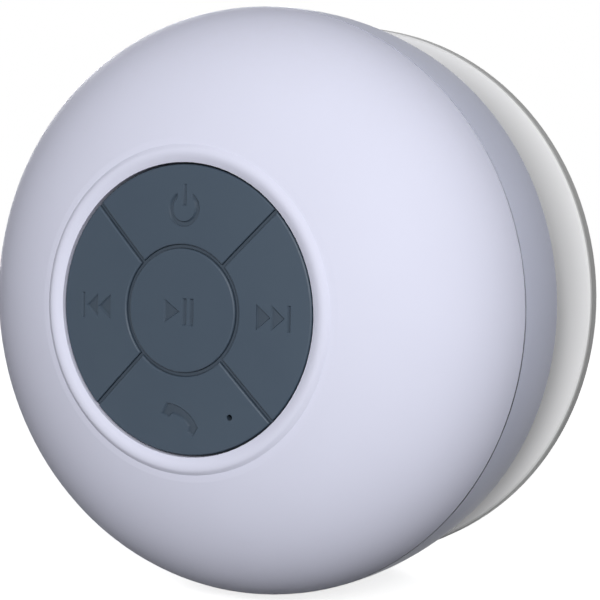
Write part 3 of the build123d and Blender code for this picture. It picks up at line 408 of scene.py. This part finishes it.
# Keypad frame, tact switches and the chips: black glass-filled nylon and epoxy, matt from the tool,
# with short fibres that show as pale streaks. The frame is pressed on four pillars of the shell.
fibred, given, out = effect("felted_fibres", [("Scale", 1000.0)], ["Height", "Shade"])
stretched = put(
    fibred, "ShaderNodeMapping", Vector=given["Place"], Scale=(1.0, 0.4, 0.08),
    Rotation=(0.3, 0.5, 0.4),
).outputs[0]
crossing = put(
    fibred, "ShaderNodeMapping", Vector=given["Place"], Scale=(0.08, 0.5, 1.0),
    Rotation=(0.2, -0.6, 0.3),
).outputs[0]
strands = math_step(
    fibred, "MAXIMUM", noise(fibred, stretched, given["Scale"], 2.0, 0.5, 0.8),
    noise(fibred, crossing, given["Scale"], 2.0, 0.5, 0.8),
)
fibred.links.new(strands, out["Height"])
fibred.links.new(math_step(fibred, "MULTIPLY", strands, 0.6), out["Shade"])

inner_plastic = finish(
    "inner_plastic", (0.030, 0.030, 0.032), (0.042, 0.042, 0.045), (0.45, 0.60), 4200.0, 0.000006,
    patch_scale=120.0, wear=0.3, wear_tone=(0.12, 0.12, 0.12), detail=fibred,
    detail_scale=2600.0, detail_tone=(0.10, 0.10, 0.10), detail_relief=0.000004,
)
dress(inner_plastic, "keypad_frame", "switch_bodies", "board_components")

pin_plastic = finish(
    "pin_plastic", (0.74, 0.71, 0.63), (0.68, 0.65, 0.57), (0.30, 0.42), 3000.0, 0.000003,
    patch_scale=200.0, wear=0.4, wear_tone=(0.82, 0.80, 0.74),
)
dress(pin_plastic, *[f"{key}_switch_pin" for key in key_names])


# Control board and charging board: glass laminate under green solder mask, with copper tracks that
# show through it as paler green lines. Screws hold both boards to posts in the housing.
tracked, given, out = effect("board_tracks", [("Scale", 1000.0)], ["Height", "Shade"])
scaled = put(
    tracked, "ShaderNodeVectorMath", {"operation": "SCALE"}, Vector=given["Place"],
    Scale=given["Scale"],
).outputs[0]
cell = put(
    tracked, "ShaderNodeVectorMath", {"operation": "SCALE"}, Vector=scaled, Scale=0.14,
).outputs[0]
cell = put(tracked, "ShaderNodeVectorMath", {"operation": "FLOOR"}, Vector=cell).outputs[0]
chance = put(tracked, "ShaderNodeTexWhiteNoise", Vector=cell).outputs["Value"]
along = put(tracked, "ShaderNodeSeparateXYZ", Vector=scaled).outputs
across = math_step(tracked, "GREATER_THAN", chance, 0.5)
place_on_board = put(
    tracked, "ShaderNodeMix", {"data_type": "FLOAT"}, Factor=across, A=along["X"], B=along["Z"],
).outputs[0]
wave = math_step(tracked, "ABSOLUTE", math_step(tracked, "SINE", place_on_board))
track = put(tracked, "ShaderNodeMapRange", Value=wave, From_Min=0.72, From_Max=0.80).outputs[0]
tracked.links.new(track, out["Height"])
tracked.links.new(math_step(tracked, "MULTIPLY", track, 0.8), out["Shade"])

board_laminate = finish(
    "board_laminate", (0.010, 0.105, 0.045), (0.008, 0.090, 0.040), (0.22, 0.34), 2400.0, 0.000003,
    patch_scale=80.0, dust=0.15, detail=tracked, detail_scale=5200.0,
    detail_tone=(0.030, 0.210, 0.080), detail_relief=0.00003, Coat_Weight=0.3,
)
dress(board_laminate, "control_board", "charge_board")


# Tinned cans and drawn steel: the module's shield, the microphone, the socket's shell, the basket
# and the screws are all bright zinc or tin over steel, with fine lines from rolling and drawing.
drawn, given, out = effect("drawn_lines", [("Scale", 1000.0)], ["Height", "Shade"])
stretched = put(
    drawn, "ShaderNodeMapping", Vector=given["Place"], Scale=(1.0, 1.0, 0.05),
).outputs[0]
lines = noise(drawn, stretched, given["Scale"], 3.0, 0.25, 0.75)
drawn.links.new(lines, out["Height"])
drawn.links.new(math_step(drawn, "MULTIPLY", lines, 0.5), out["Shade"])

can_steel = finish(
    "can_steel", (0.62, 0.62, 0.61), (0.52, 0.52, 0.51), (0.28, 0.40), 2600.0, 0.000002,
    patch_scale=170.0, detail=drawn, detail_scale=4200.0, detail_tone=(0.44, 0.44, 0.43),
    detail_relief=0.000003, Metallic=1.0,
)
dress(can_steel, "bluetooth_module", "microphone", "usb_socket")

basket_steel = finish(
    "basket_steel", (0.46, 0.47, 0.49), (0.38, 0.39, 0.42), (0.32, 0.46), 1800.0, 0.000003,
    patch_scale=90.0, wear=0.5, wear_tone=(0.62, 0.62, 0.63), detail=drawn, detail_scale=2600.0,
    detail_tone=(0.34, 0.35, 0.37), detail_relief=0.000004, Metallic=1.0,
)
dress(basket_steel, "speaker_basket")

screw_steel = finish(
    "screw_steel", (0.56, 0.56, 0.58), (0.47, 0.48, 0.52), (0.24, 0.38), 2600.0, 0.000003,
    patch_scale=400.0, wear=0.6, wear_tone=(0.70, 0.70, 0.71), detail=drawn, detail_scale=6000.0,
    detail_tone=(0.40, 0.41, 0.44), detail_relief=0.000003, Metallic=1.0,
)
dress(screw_steel, "board_screws", "charge_screws", "speaker_screws", "housing_screws")


# Plugs and leads: cream nylon plugs stand on the boards, and each lead is a red vinyl sleeve with
# a slight gloss and drag marks along it, held between its two plugs.
plug_plastic = finish(
    "plug_plastic", (0.78, 0.75, 0.66), (0.72, 0.69, 0.60), (0.36, 0.48), 2600.0, 0.000004,
    patch_scale=160.0, wear=0.3, wear_tone=(0.85, 0.83, 0.78), dust=0.10,
)
dress(plug_plastic, "wire_connectors")
lead_sleeve = finish(
    "lead_sleeve", (0.36, 0.020, 0.018), (0.30, 0.016, 0.015), (0.30, 0.42), 3200.0, 0.000004,
    patch_scale=260.0, detail=drawn, detail_scale=5000.0, detail_tone=(0.42, 0.050, 0.045),
    detail_relief=0.000006,
)
dress(lead_sleeve, "battery_lead", "charge_lead", "speaker_lead")


# Battery: a lithium pouch in soft foil, its faces slightly wrinkled, laid on a foam pad between
# two cradle walls. The same dark foam seals the loudspeaker's flange to its seat.
wrinkled, given, out = effect("foil_wrinkles", [("Scale", 200.0)], ["Height", "Shade"])
creases = put(
    wrinkled, "ShaderNodeTexVoronoi", {"feature": "DISTANCE_TO_EDGE"}, Vector=given["Place"],
    Scale=given["Scale"],
).outputs["Distance"]
creases = put(wrinkled, "ShaderNodeMapRange", Value=creases, From_Max=0.25).outputs[0]
soft = noise(wrinkled, given["Place"], given["Scale"], 5.0, 0.3, 0.7)
wrinkled.links.new(math_step(wrinkled, "MULTIPLY_ADD", creases, 0.5, soft), out["Height"])
wrinkled.links.new(math_step(wrinkled, "MULTIPLY", soft, 0.4), out["Shade"])

cell_foil = finish(
    "cell_foil", (0.66, 0.67, 0.70), (0.58, 0.59, 0.62), (0.26, 0.40), 1600.0, 0.000004,
    patch_scale=90.0, wear=0.3, wear_tone=(0.75, 0.75, 0.77), detail=wrinkled, detail_scale=260.0,
    detail_tone=(0.50, 0.51, 0.54), detail_relief=0.00005, Metallic=1.0,
)
dress(cell_foil, "battery")

celled, given, out = effect("foam_cells", [("Scale", 2000.0)], ["Height", "Shade"])
pores = put(
    celled, "ShaderNodeTexVoronoi", Vector=given["Place"], Scale=given["Scale"],
).outputs["Distance"]
celled.links.new(pores, out["Height"])
celled.links.new(
    put(celled, "ShaderNodeMapRange", Value=pores, From_Min=0.7, From_Max=0.2).outputs[0],
    out["Shade"],
)
foam = finish(
    "foam", (0.050, 0.050, 0.054), (0.040, 0.040, 0.043), (0.85, 0.95), 2600.0, 0.00001,
    patch_scale=120.0, detail=celled, detail_scale=2600.0, detail_tone=(0.018, 0.018, 0.020),
    detail_relief=0.00012, Specular_IOR_Level=0.2,
)
dress(foam, "battery_pad", "speaker_gasket")


# Port flap and its anchor: one soft silicone moulding in the cover's grey-blue, pressed into the
# recess round the charging socket. It picks up dust, and its edges wear paler where a thumb rubs
# them.
flap_silicone = finish(
    "flap_silicone", (0.50, 0.522, 0.64), (0.475, 0.497, 0.61), (0.48, 0.60), 4200.0, 0.000005,
    patch_scale=120.0, wear=0.25, wear_tone=(0.60, 0.62, 0.70), dust=0.12,
    Specular_IOR_Level=0.4,
)
dress(flap_silicone, "port_flap", "flap_anchor")


# Magnet: a sintered ferrite ring is glued between a steel top plate and a yoke, which are turned
# and left bare, with fine tool marks round the axis. The three are fixed behind the basket's floor.
turned, given, out = effect("turned_lines", [("Scale", 3000.0)], ["Height", "Shade"])
parts, radius = off_axis(turned, given["Place"])
groove = put(turned, "ShaderNodeCombineXYZ", X=radius, Y=parts["Y"]).outputs[0]
cuts = noise(turned, groove, given["Scale"], 2.0, 0.25, 0.75)
turned.links.new(cuts, out["Height"])
turned.links.new(math_step(turned, "MULTIPLY", cuts, 0.45), out["Shade"])

plate_steel = finish(
    "plate_steel", (0.56, 0.56, 0.57), (0.49, 0.49, 0.51), (0.25, 0.38), 2200.0, 0.000002,
    patch_scale=110.0, wear=0.4, wear_tone=(0.68, 0.68, 0.69), detail=turned, detail_scale=5200.0,
    detail_tone=(0.40, 0.40, 0.42), detail_relief=0.000004, Metallic=1.0,
)
dress(plate_steel, "top_plate", "yoke")
ferrite = finish(
    "ferrite", (0.045, 0.045, 0.048), (0.065, 0.064, 0.064), (0.55, 0.75), 1500.0, 0.00002,
    patch_scale=300.0, wear=0.6, wear_tone=(0.14, 0.14, 0.14), dust=0.2,
)
dress(ferrite, "magnet")


# Voice coil: enamelled copper wire wound in close turns on a thin amber former, which is glued in
# the neck of the cone. The cone and its dust cap are pressed pulp with a black waterproof coat.
wire_depth = 0.2 * mm
former_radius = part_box("voice_coil")[1].x - wire_depth

wound, given, out = effect("coil_windings", [("Scale", 20000.0)], ["Height", "Shade"])
parts, radius = off_axis(wound, given["Place"])
on_winding = math_step(wound, "GREATER_THAN", radius, former_radius)
wire = math_step(wound, "SINE", math_step(wound, "MULTIPLY", parts["Y"], given["Scale"]))
wire = put(wound, "ShaderNodeMapRange", Value=wire, From_Min=-1.0, From_Max=1.0).outputs[0]
wound.links.new(math_step(wound, "MULTIPLY", wire, on_winding), out["Height"])
wound.links.new(
    math_step(wound, "MULTIPLY", on_winding, math_step(wound, "MULTIPLY_ADD", wire, 0.4, 0.6)),
    out["Shade"],
)
coil_copper = finish(
    "coil_copper", (0.26, 0.115, 0.030), (0.22, 0.095, 0.025), (0.25, 0.38), 2600.0, 0.000002,
    patch_scale=200.0, detail=wound, detail_scale=31000.0, detail_tone=(0.62, 0.26, 0.12),
    detail_relief=0.00005, Metallic=0.6,
)
dress(coil_copper, "voice_coil")

cone_paper = finish(
    "cone_paper", (0.022, 0.022, 0.024), (0.032, 0.032, 0.034), (0.60, 0.78), 2600.0, 0.00001,
    patch_scale=130.0, dust=0.12, detail=fibred, detail_scale=1800.0,
    detail_tone=(0.060, 0.060, 0.062), detail_relief=0.00003,
)
dress(cone_paper, "cone", "dust_cap")


# Surround and spider: a roll of black rubber and a pleated ring of resin-dipped yellow cloth hold
# the cone centred. Each is glued to the basket outside and to the cone or its former inside, and is
# made in sectors here.
woven, given, out = effect("woven_threads", [("Scale", 6000.0)], ["Height", "Shade"])
parts = put(woven, "ShaderNodeSeparateXYZ", Vector=given["Place"]).outputs
warp = math_step(woven, "SINE", math_step(woven, "MULTIPLY", parts["X"], given["Scale"]))
weft = math_step(woven, "SINE", math_step(woven, "MULTIPLY", parts["Z"], given["Scale"]))
cloth = math_step(woven, "MULTIPLY_ADD", math_step(woven, "MULTIPLY", warp, weft), 0.5, 0.5)
woven.links.new(cloth, out["Height"])
woven.links.new(
    put(woven, "ShaderNodeMapRange", Value=cloth, From_Min=0.55, From_Max=0.1).outputs[0],
    out["Shade"],
)
spider_cloth = finish(
    "spider_cloth", (0.52, 0.33, 0.10), (0.46, 0.28, 0.08), (0.55, 0.70), 2600.0, 0.000006,
    patch_scale=140.0, detail=woven, detail_scale=9000.0, detail_tone=(0.22, 0.12, 0.03),
    detail_relief=0.00008,
)
dress(spider_cloth, "spider")

sheet, sectors, sector_steps = 0.3 * mm, 8, 9


def flexing_ring(name, path, material):
    """Ring of sheet in sectors, its section drawn along a path of radius and Y.
    """
    for count in range(sectors):
        piece = strip(path[0], (path[0][0], path[0][1] + sheet))
        bpy.ops.mesh.select_all(action="SELECT")
        bpy.ops.mesh.remove_doubles(threshold=weld)
        for here, there in zip(path, path[1:]):
            step = (there[0] - here[0], there[1] - here[1], 0)
            bpy.ops.mesh.extrude_region_move(TRANSFORM_OT_translate={"value": step})
        bpy.ops.mesh.select_all(action="SELECT")
        bpy.ops.mesh.spin(
            steps=sector_steps, angle=2 * math.pi / sectors, center=(0, 0, 0), axis=(0, 1, 0),
        )
        bpy.ops.object.mode_set(mode="OBJECT")
        piece.rotation_euler = (0, 2 * math.pi * count / sectors, 0)
        edit(piece)
        close_up(piece, f"{name}_{count + 1}", material, None)
        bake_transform(piece)
        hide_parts(name)


surround_low, surround_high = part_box("surround")
cone_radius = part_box("cone")[1].x
roll_lip, roll_lap, roll_steps = 1.0 * mm, 2.0 * mm, 16
roll_end = surround_high.x - roll_lap
roll_middle = (cone_radius + roll_end) / 2
roll_rise = surround_high.y - surround_low.y - sheet
roll_half = (roll_end - cone_radius) / 2
roll_ball = (roll_half**2 + roll_rise**2) / (2 * roll_rise)
roll = [(cone_radius - roll_lip, surround_low.y), (cone_radius, surround_low.y)]
for step in range(1, roll_steps + 1):
    share = (1 - math.cos(math.pi * step / roll_steps)) / 2
    x = cone_radius + (roll_end - cone_radius) * share
    rise = math.sqrt(roll_ball**2 - (x - roll_middle) ** 2) - (roll_ball - roll_rise)
    roll.append((x, surround_low.y + rise))
roll.append((surround_high.x, surround_low.y))
flexing_ring("surround", roll, seal_rubber)

spider_low, spider_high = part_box("spider")
former_gap, bend_end = 8.02 * mm, 10.0 * mm
wave_start, wave_end = former_gap + 0.4 * mm, spider_high.x - 1.4 * mm
wave_half = (spider_high.y - spider_low.y - sheet) / 2
wave_middle = (spider_low.y + spider_high.y - sheet) / 2
wave_steps, half_waves, last_trough = 32, 4, 3.5
waves = [(former_gap, wave_middle)]
for step in range(wave_steps + 1):
    share = step / wave_steps
    phase = half_waves * share
    lift = math.sin(math.pi * phase) if phase < last_trough else -1.0
    waves.append((wave_start + (wave_end - wave_start) * share, wave_middle + wave_half * lift))
waves.append((spider_high.x, waves[-1][1]))
flexing_ring("spider", waves, spider_cloth)


# Acoustic mesh: a ring of black waterproof cloth with a close plain weave, glued to the floor of
# the rear cover over the sound slots. It keeps spray out of the loudspeaker.
mesh_cloth = finish(
    "mesh_cloth", (0.030, 0.030, 0.033), (0.024, 0.024, 0.027), (0.55, 0.70), 2600.0, 0.000004,
    patch_scale=140.0, dust=0.15, detail=woven, detail_scale=11000.0,
    detail_tone=(0.006, 0.006, 0.007), detail_relief=0.00008,
)
dress(mesh_cloth, "acoustic_mesh")


# Bush: turned from brass and moulded into the hub of the rear cover, so that the body can be
# screwed on and off. Its edges rub bright as the stud goes in.
brass = finish(
    "brass", (0.62, 0.42, 0.15), (0.54, 0.35, 0.12), (0.22, 0.36), 2200.0, 0.000002,
    patch_scale=160.0, wear=0.4, wear_tone=(0.72, 0.54, 0.24), detail=turned, detail_scale=5200.0,
    detail_tone=(0.44, 0.28, 0.09), detail_relief=0.000004, Metallic=1.0,
)
dress(brass, "threaded_bush")


# Stud: white glass-filled nylon with a coarse right-hand thread, its round plate moulded into the
# cup's neck. The body screws onto it until the thin rubber washer is nipped between them.
stud_plastic = finish(
    "stud_plastic", (0.72, 0.72, 0.73), (0.66, 0.66, 0.67), (0.38, 0.50), 2600.0, 0.000005,
    patch_scale=120.0, wear=0.4, wear_tone=(0.80, 0.80, 0.80), dust=0.08, detail=turned,
    detail_scale=2600.0, detail_relief=0.000006,
)
dress(stud_plastic, "cup_stud")

stud_low, stud_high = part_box("cup_stud")
crest_radius, root_radius, stud_sides = 4.0 * mm, 3.5 * mm, 72
thread_pitch, ridge_half, ridge_flat = 3.0 * mm, 1.05 * mm, 0.12 * mm
plate_thickness, plain_neck, plain_tip, tip_bevel = 2.0 * mm, 5.4 * mm, 1.6 * mm, 0.4 * mm
rod_end = stud_high.y - plate_thickness / 2
thread_start = stud_high.y - plain_neck
thread_length = thread_start - stud_low.y - plain_tip
thread_steps = 96

bpy.ops.object.select_all(action="DESELECT")
bpy.ops.mesh.primitive_cylinder_add(
    vertices=stud_sides, radius=root_radius, depth=rod_end - stud_low.y,
    location=(0, (stud_low.y + rod_end) / 2, 0), rotation=(math.radians(90), 0, 0),
)
rod = bpy.context.object
bpy.ops.object.modifier_add(type="BEVEL")
rounding = rod.modifiers[0]
rounding.width, rounding.segments, rounding.limit_method = tip_bevel, 3, "ANGLE"
bpy.ops.object.modifier_apply(modifier=rounding.name)

bpy.ops.object.select_all(action="DESELECT")
bpy.ops.mesh.primitive_cylinder_add(
    vertices=stud_sides, radius=stud_high.x, depth=plate_thickness,
    location=(0, stud_high.y - plate_thickness / 2, 0), rotation=(math.radians(90), 0, 0),
)
plate = bpy.context.object

bpy.ops.object.select_all(action="DESELECT")
bpy.ops.mesh.primitive_plane_add(size=math.sqrt(2), location=(0, 0, 0))
thread = bpy.context.object
bpy.ops.object.mode_set(mode="EDIT")
bpy.ops.transform.rotate(value=math.radians(45), orient_axis="Z", center_override=(0, 0, 0))
ridge_height = (crest_radius - root_radius) * 1.25
bpy.ops.transform.resize(value=(ridge_height, ridge_half, 1))
bpy.ops.mesh.bevel(offset=ridge_flat, affect="VERTICES")
bpy.ops.mesh.delete(type="ONLY_FACE")
bpy.ops.object.mode_set(mode="OBJECT")
ridge_tip = max(corner.co.x for corner in thread.data.vertices)
thread.location = (crest_radius - ridge_tip, thread_start, 0)
bpy.ops.object.transform_apply(location=True, rotation=True, scale=True)
bpy.ops.object.modifier_add(type="SCREW")
winding = thread.modifiers[0]
winding.axis = "Y"
winding.angle = -2 * math.pi * thread_length / thread_pitch
winding.screw_offset = -thread_length
winding.steps = winding.render_steps = thread_steps
bpy.ops.object.modifier_apply(modifier=winding.name)
edit(thread)
bpy.ops.mesh.select_all(action="DESELECT")
bpy.ops.mesh.select_non_manifold()
bpy.ops.mesh.fill_holes(sides=0)
bpy.ops.object.mode_set(mode="OBJECT")

for piece in (rod, plate, thread):
    piece.select_set(True)
bpy.context.view_layer.objects.active = rod
bpy.ops.object.join()
edit(rod)
close_up(rod, "threaded_stud", stud_plastic, "wall_cup")
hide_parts("cup_stud")


# Suction cup: one moulding in soft white vinyl, thin at its rim and thick at the neck that grips
# the stud. Its room side carries a painted shadow of the body, grey towards the neck and fading
# out towards the rim, and the rim's outer wall is painted a darker grey shade.
cup_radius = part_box("suction_cup")[1].x
cup_shade_start, cup_shade_full = cup_radius - 0.35 * mm, cup_radius - 4.6 * mm
rim_shade_start, rim_shade_full = cup_radius - 0.22 * mm, cup_radius - 0.12 * mm

painted_cup_shade, given, out = effect("cup_painted_shade", [("Scale", 40.0)], ["Height", "Shade"])
radius = off_axis(painted_cup_shade, given["Place"])[1]
body_shadow = put(
    painted_cup_shade, "ShaderNodeMapRange", Value=radius, From_Min=cup_shade_start, From_Max=cup_shade_full,
    To_Max=0.75,
).outputs[0]
facing = painted_cup_shade.nodes.new("ShaderNodeNewGeometry").outputs["Normal"]
facing = put(painted_cup_shade, "ShaderNodeSeparateXYZ", Vector=facing).outputs["Y"]
facing = put(painted_cup_shade, "ShaderNodeMapRange", Value=facing, From_Min=-0.2, From_Max=-0.6).outputs[0]
rim_shade = put(
    painted_cup_shade, "ShaderNodeMapRange", Value=radius, From_Min=rim_shade_start, From_Max=rim_shade_full,
).outputs[0]
cup_shade = math_step(
    painted_cup_shade, "MAXIMUM", math_step(painted_cup_shade, "MULTIPLY", body_shadow, facing), rim_shade,
)
cloudy = noise(painted_cup_shade, given["Place"], given["Scale"], 3.0, 0.2, 0.8)
cloudy = math_step(painted_cup_shade, "MULTIPLY_ADD", cloudy, 0.1, 0.9)
painted_cup_shade.links.new(math_step(painted_cup_shade, "MULTIPLY", cup_shade, cloudy), out["Shade"])
# The grey on the room side and on the rim's wall is painted shade.
cup_vinyl = finish(
    "cup_vinyl", (0.90, 0.90, 0.90), (0.88, 0.88, 0.885), (0.30, 0.40), 1500.0, 0.000004,
    patch_scale=40.0, dust=0.05, detail=painted_cup_shade, detail_scale=40.0, detail_tone=(0.45, 0.45, 0.45),
    Specular_IOR_Level=0.03,
)
dress(cup_vinyl, "suction_cup")


# Studio: a pale floor that fades into a white backdrop. A wide softbox stands to the right of the
# keypad and a weaker one straight in front of it, one lights the back, and a faint one the right
# side. The camera looks at the keypad from the right.
floor_size, floor_gap = 6.0, 0.0002
bpy.ops.mesh.primitive_plane_add(size=floor_size, location=(0, 0, cad_low.z - floor_gap))
floor = bpy.context.object
floor.name = "studio_floor"
floor_material = bpy.data.materials.new("studio_floor")
floor_material.use_nodes = True
tree = floor_material.node_tree
card = tree.nodes["Principled BSDF"]
card.inputs["Roughness"].default_value = 0.9
card.inputs["Specular IOR Level"].default_value = 0.0


def background_rays(tree):
    """1 for the rays that show a background, directly or in a gloss or a glass."""
    rays = tree.nodes.new("ShaderNodeLightPath").outputs
    seen = math_step(tree, "MAXIMUM", rays["Is Camera Ray"], rays["Is Glossy Ray"])
    return math_step(tree, "MAXIMUM", seen, rays["Is Transmission Ray"])


seen = background_rays(tree)
floor_tone = mixed(tree, seen, (0.04, 0.04, 0.042), (0.86, 0.86, 0.87))
tree.links.new(floor_tone, card.inputs["Base Color"])
place = tree.nodes.new("ShaderNodeTexCoord").outputs["Object"]
reach = put(tree, "ShaderNodeVectorMath", {"operation": "LENGTH"}, Vector=place).outputs["Value"]
far = put(tree, "ShaderNodeMapRange", Value=reach, From_Min=0.12, From_Max=0.45).outputs[0]
lift = put(
    tree, "ShaderNodeEmission", Color=(1, 1, 1, 1),
    Strength=math_step(tree, "MULTIPLY", seen, 0.74),
)
white = put(tree, "ShaderNodeEmission", Color=(1, 1, 1, 1), Strength=1.0)
near = tree.nodes.new("ShaderNodeAddShader")
fade = tree.nodes.new("ShaderNodeMixShader")
tree.links.new(card.outputs[0], near.inputs[0])
tree.links.new(lift.outputs[0], near.inputs[1])
tree.links.new(math_step(tree, "MULTIPLY", seen, far), fade.inputs[0])
tree.links.new(near.outputs[0], fade.inputs[1])
tree.links.new(white.outputs[0], fade.inputs[2])
tree.links.new(fade.outputs[0], tree.nodes["Material Output"].inputs["Surface"])
floor.data.materials.append(floor_material)

world = bpy.data.worlds.new("studio")
world.use_nodes = True
bpy.context.scene.world = world
tree = world.node_tree
backdrop = mixed(tree, background_rays(tree), (0.012, 0.012, 0.0125), (1, 1, 1))
tree.links.new(backdrop, tree.nodes["Background"].inputs["Color"])


def direction(azimuth, elevation):
    """Unit vector from the object towards a place, azimuth 0 in front and 90 on its +X side."""
    a, e = math.radians(azimuth), math.radians(elevation)
    return Vector((math.sin(a) * math.cos(e), -math.cos(a) * math.cos(e), math.sin(e)))


centre = (cad_low + cad_high) / 2


def softbox(name, azimuth, elevation, distance, width, height, level):
    """Lamp aimed at the object; a level of 1 lights a white card to about full white."""
    back = direction(azimuth, elevation)
    lamp = bpy.data.lights.new(name, "AREA")
    lamp.shape = "RECTANGLE"
    lamp.size, lamp.size_y = width, height
    lamp.energy = level * math.pi**2 * distance**2
    holder = bpy.data.objects.new(name, lamp)
    bpy.context.scene.collection.objects.link(holder)
    holder.location = centre + back * distance
    holder.rotation_euler = (-back).to_track_quat("-Z", "Y").to_euler()


softbox("key_softbox", 32.0, 19.0, 0.8, 0.46, 0.34, 0.82)
softbox("fill_softbox", 8.0, 0.0, 0.8, 0.40, 0.40, 0.34)
softbox("rear_softbox", 222.0, 10.0, 0.9, 0.45, 0.45, 0.85)
softbox("side_softbox", 118.0, 22.0, 0.9, 0.45, 0.45, 0.06)

view_azimuth, view_elevation, view_roll = 28.522, 4.439, math.radians(1.426)
view_distance, view_lens, sensor = 0.24509, 100.6, 36.0
keypad_depth, shift_right, shift_up = 0.030, 0.0068746, 0.0003586
back = direction(view_azimuth, view_elevation)
turn = math.radians(view_azimuth)
level_right = Vector((math.cos(turn), math.sin(turn), 0))
level_up = back.cross(level_right)
right = math.cos(view_roll) * level_right + math.sin(view_roll) * level_up
up = math.cos(view_roll) * level_up - math.sin(view_roll) * level_right
aim = Vector((0, -keypad_depth, 0)) + shift_right * right + shift_up * up
camera = bpy.data.cameras.new("studio_camera")
camera.sensor_width = sensor
camera.lens = view_lens
camera.clip_start = 0.01
holder = bpy.data.objects.new("studio_camera", camera)
bpy.context.scene.collection.objects.link(holder)
pose = Matrix((right, up, back)).transposed().to_4x4()
pose.translation = aim + back * view_distance
holder.matrix_world = pose
bpy.context.scene.camera = holder
bpy.context.scene.view_settings.view_transform = "Standard"
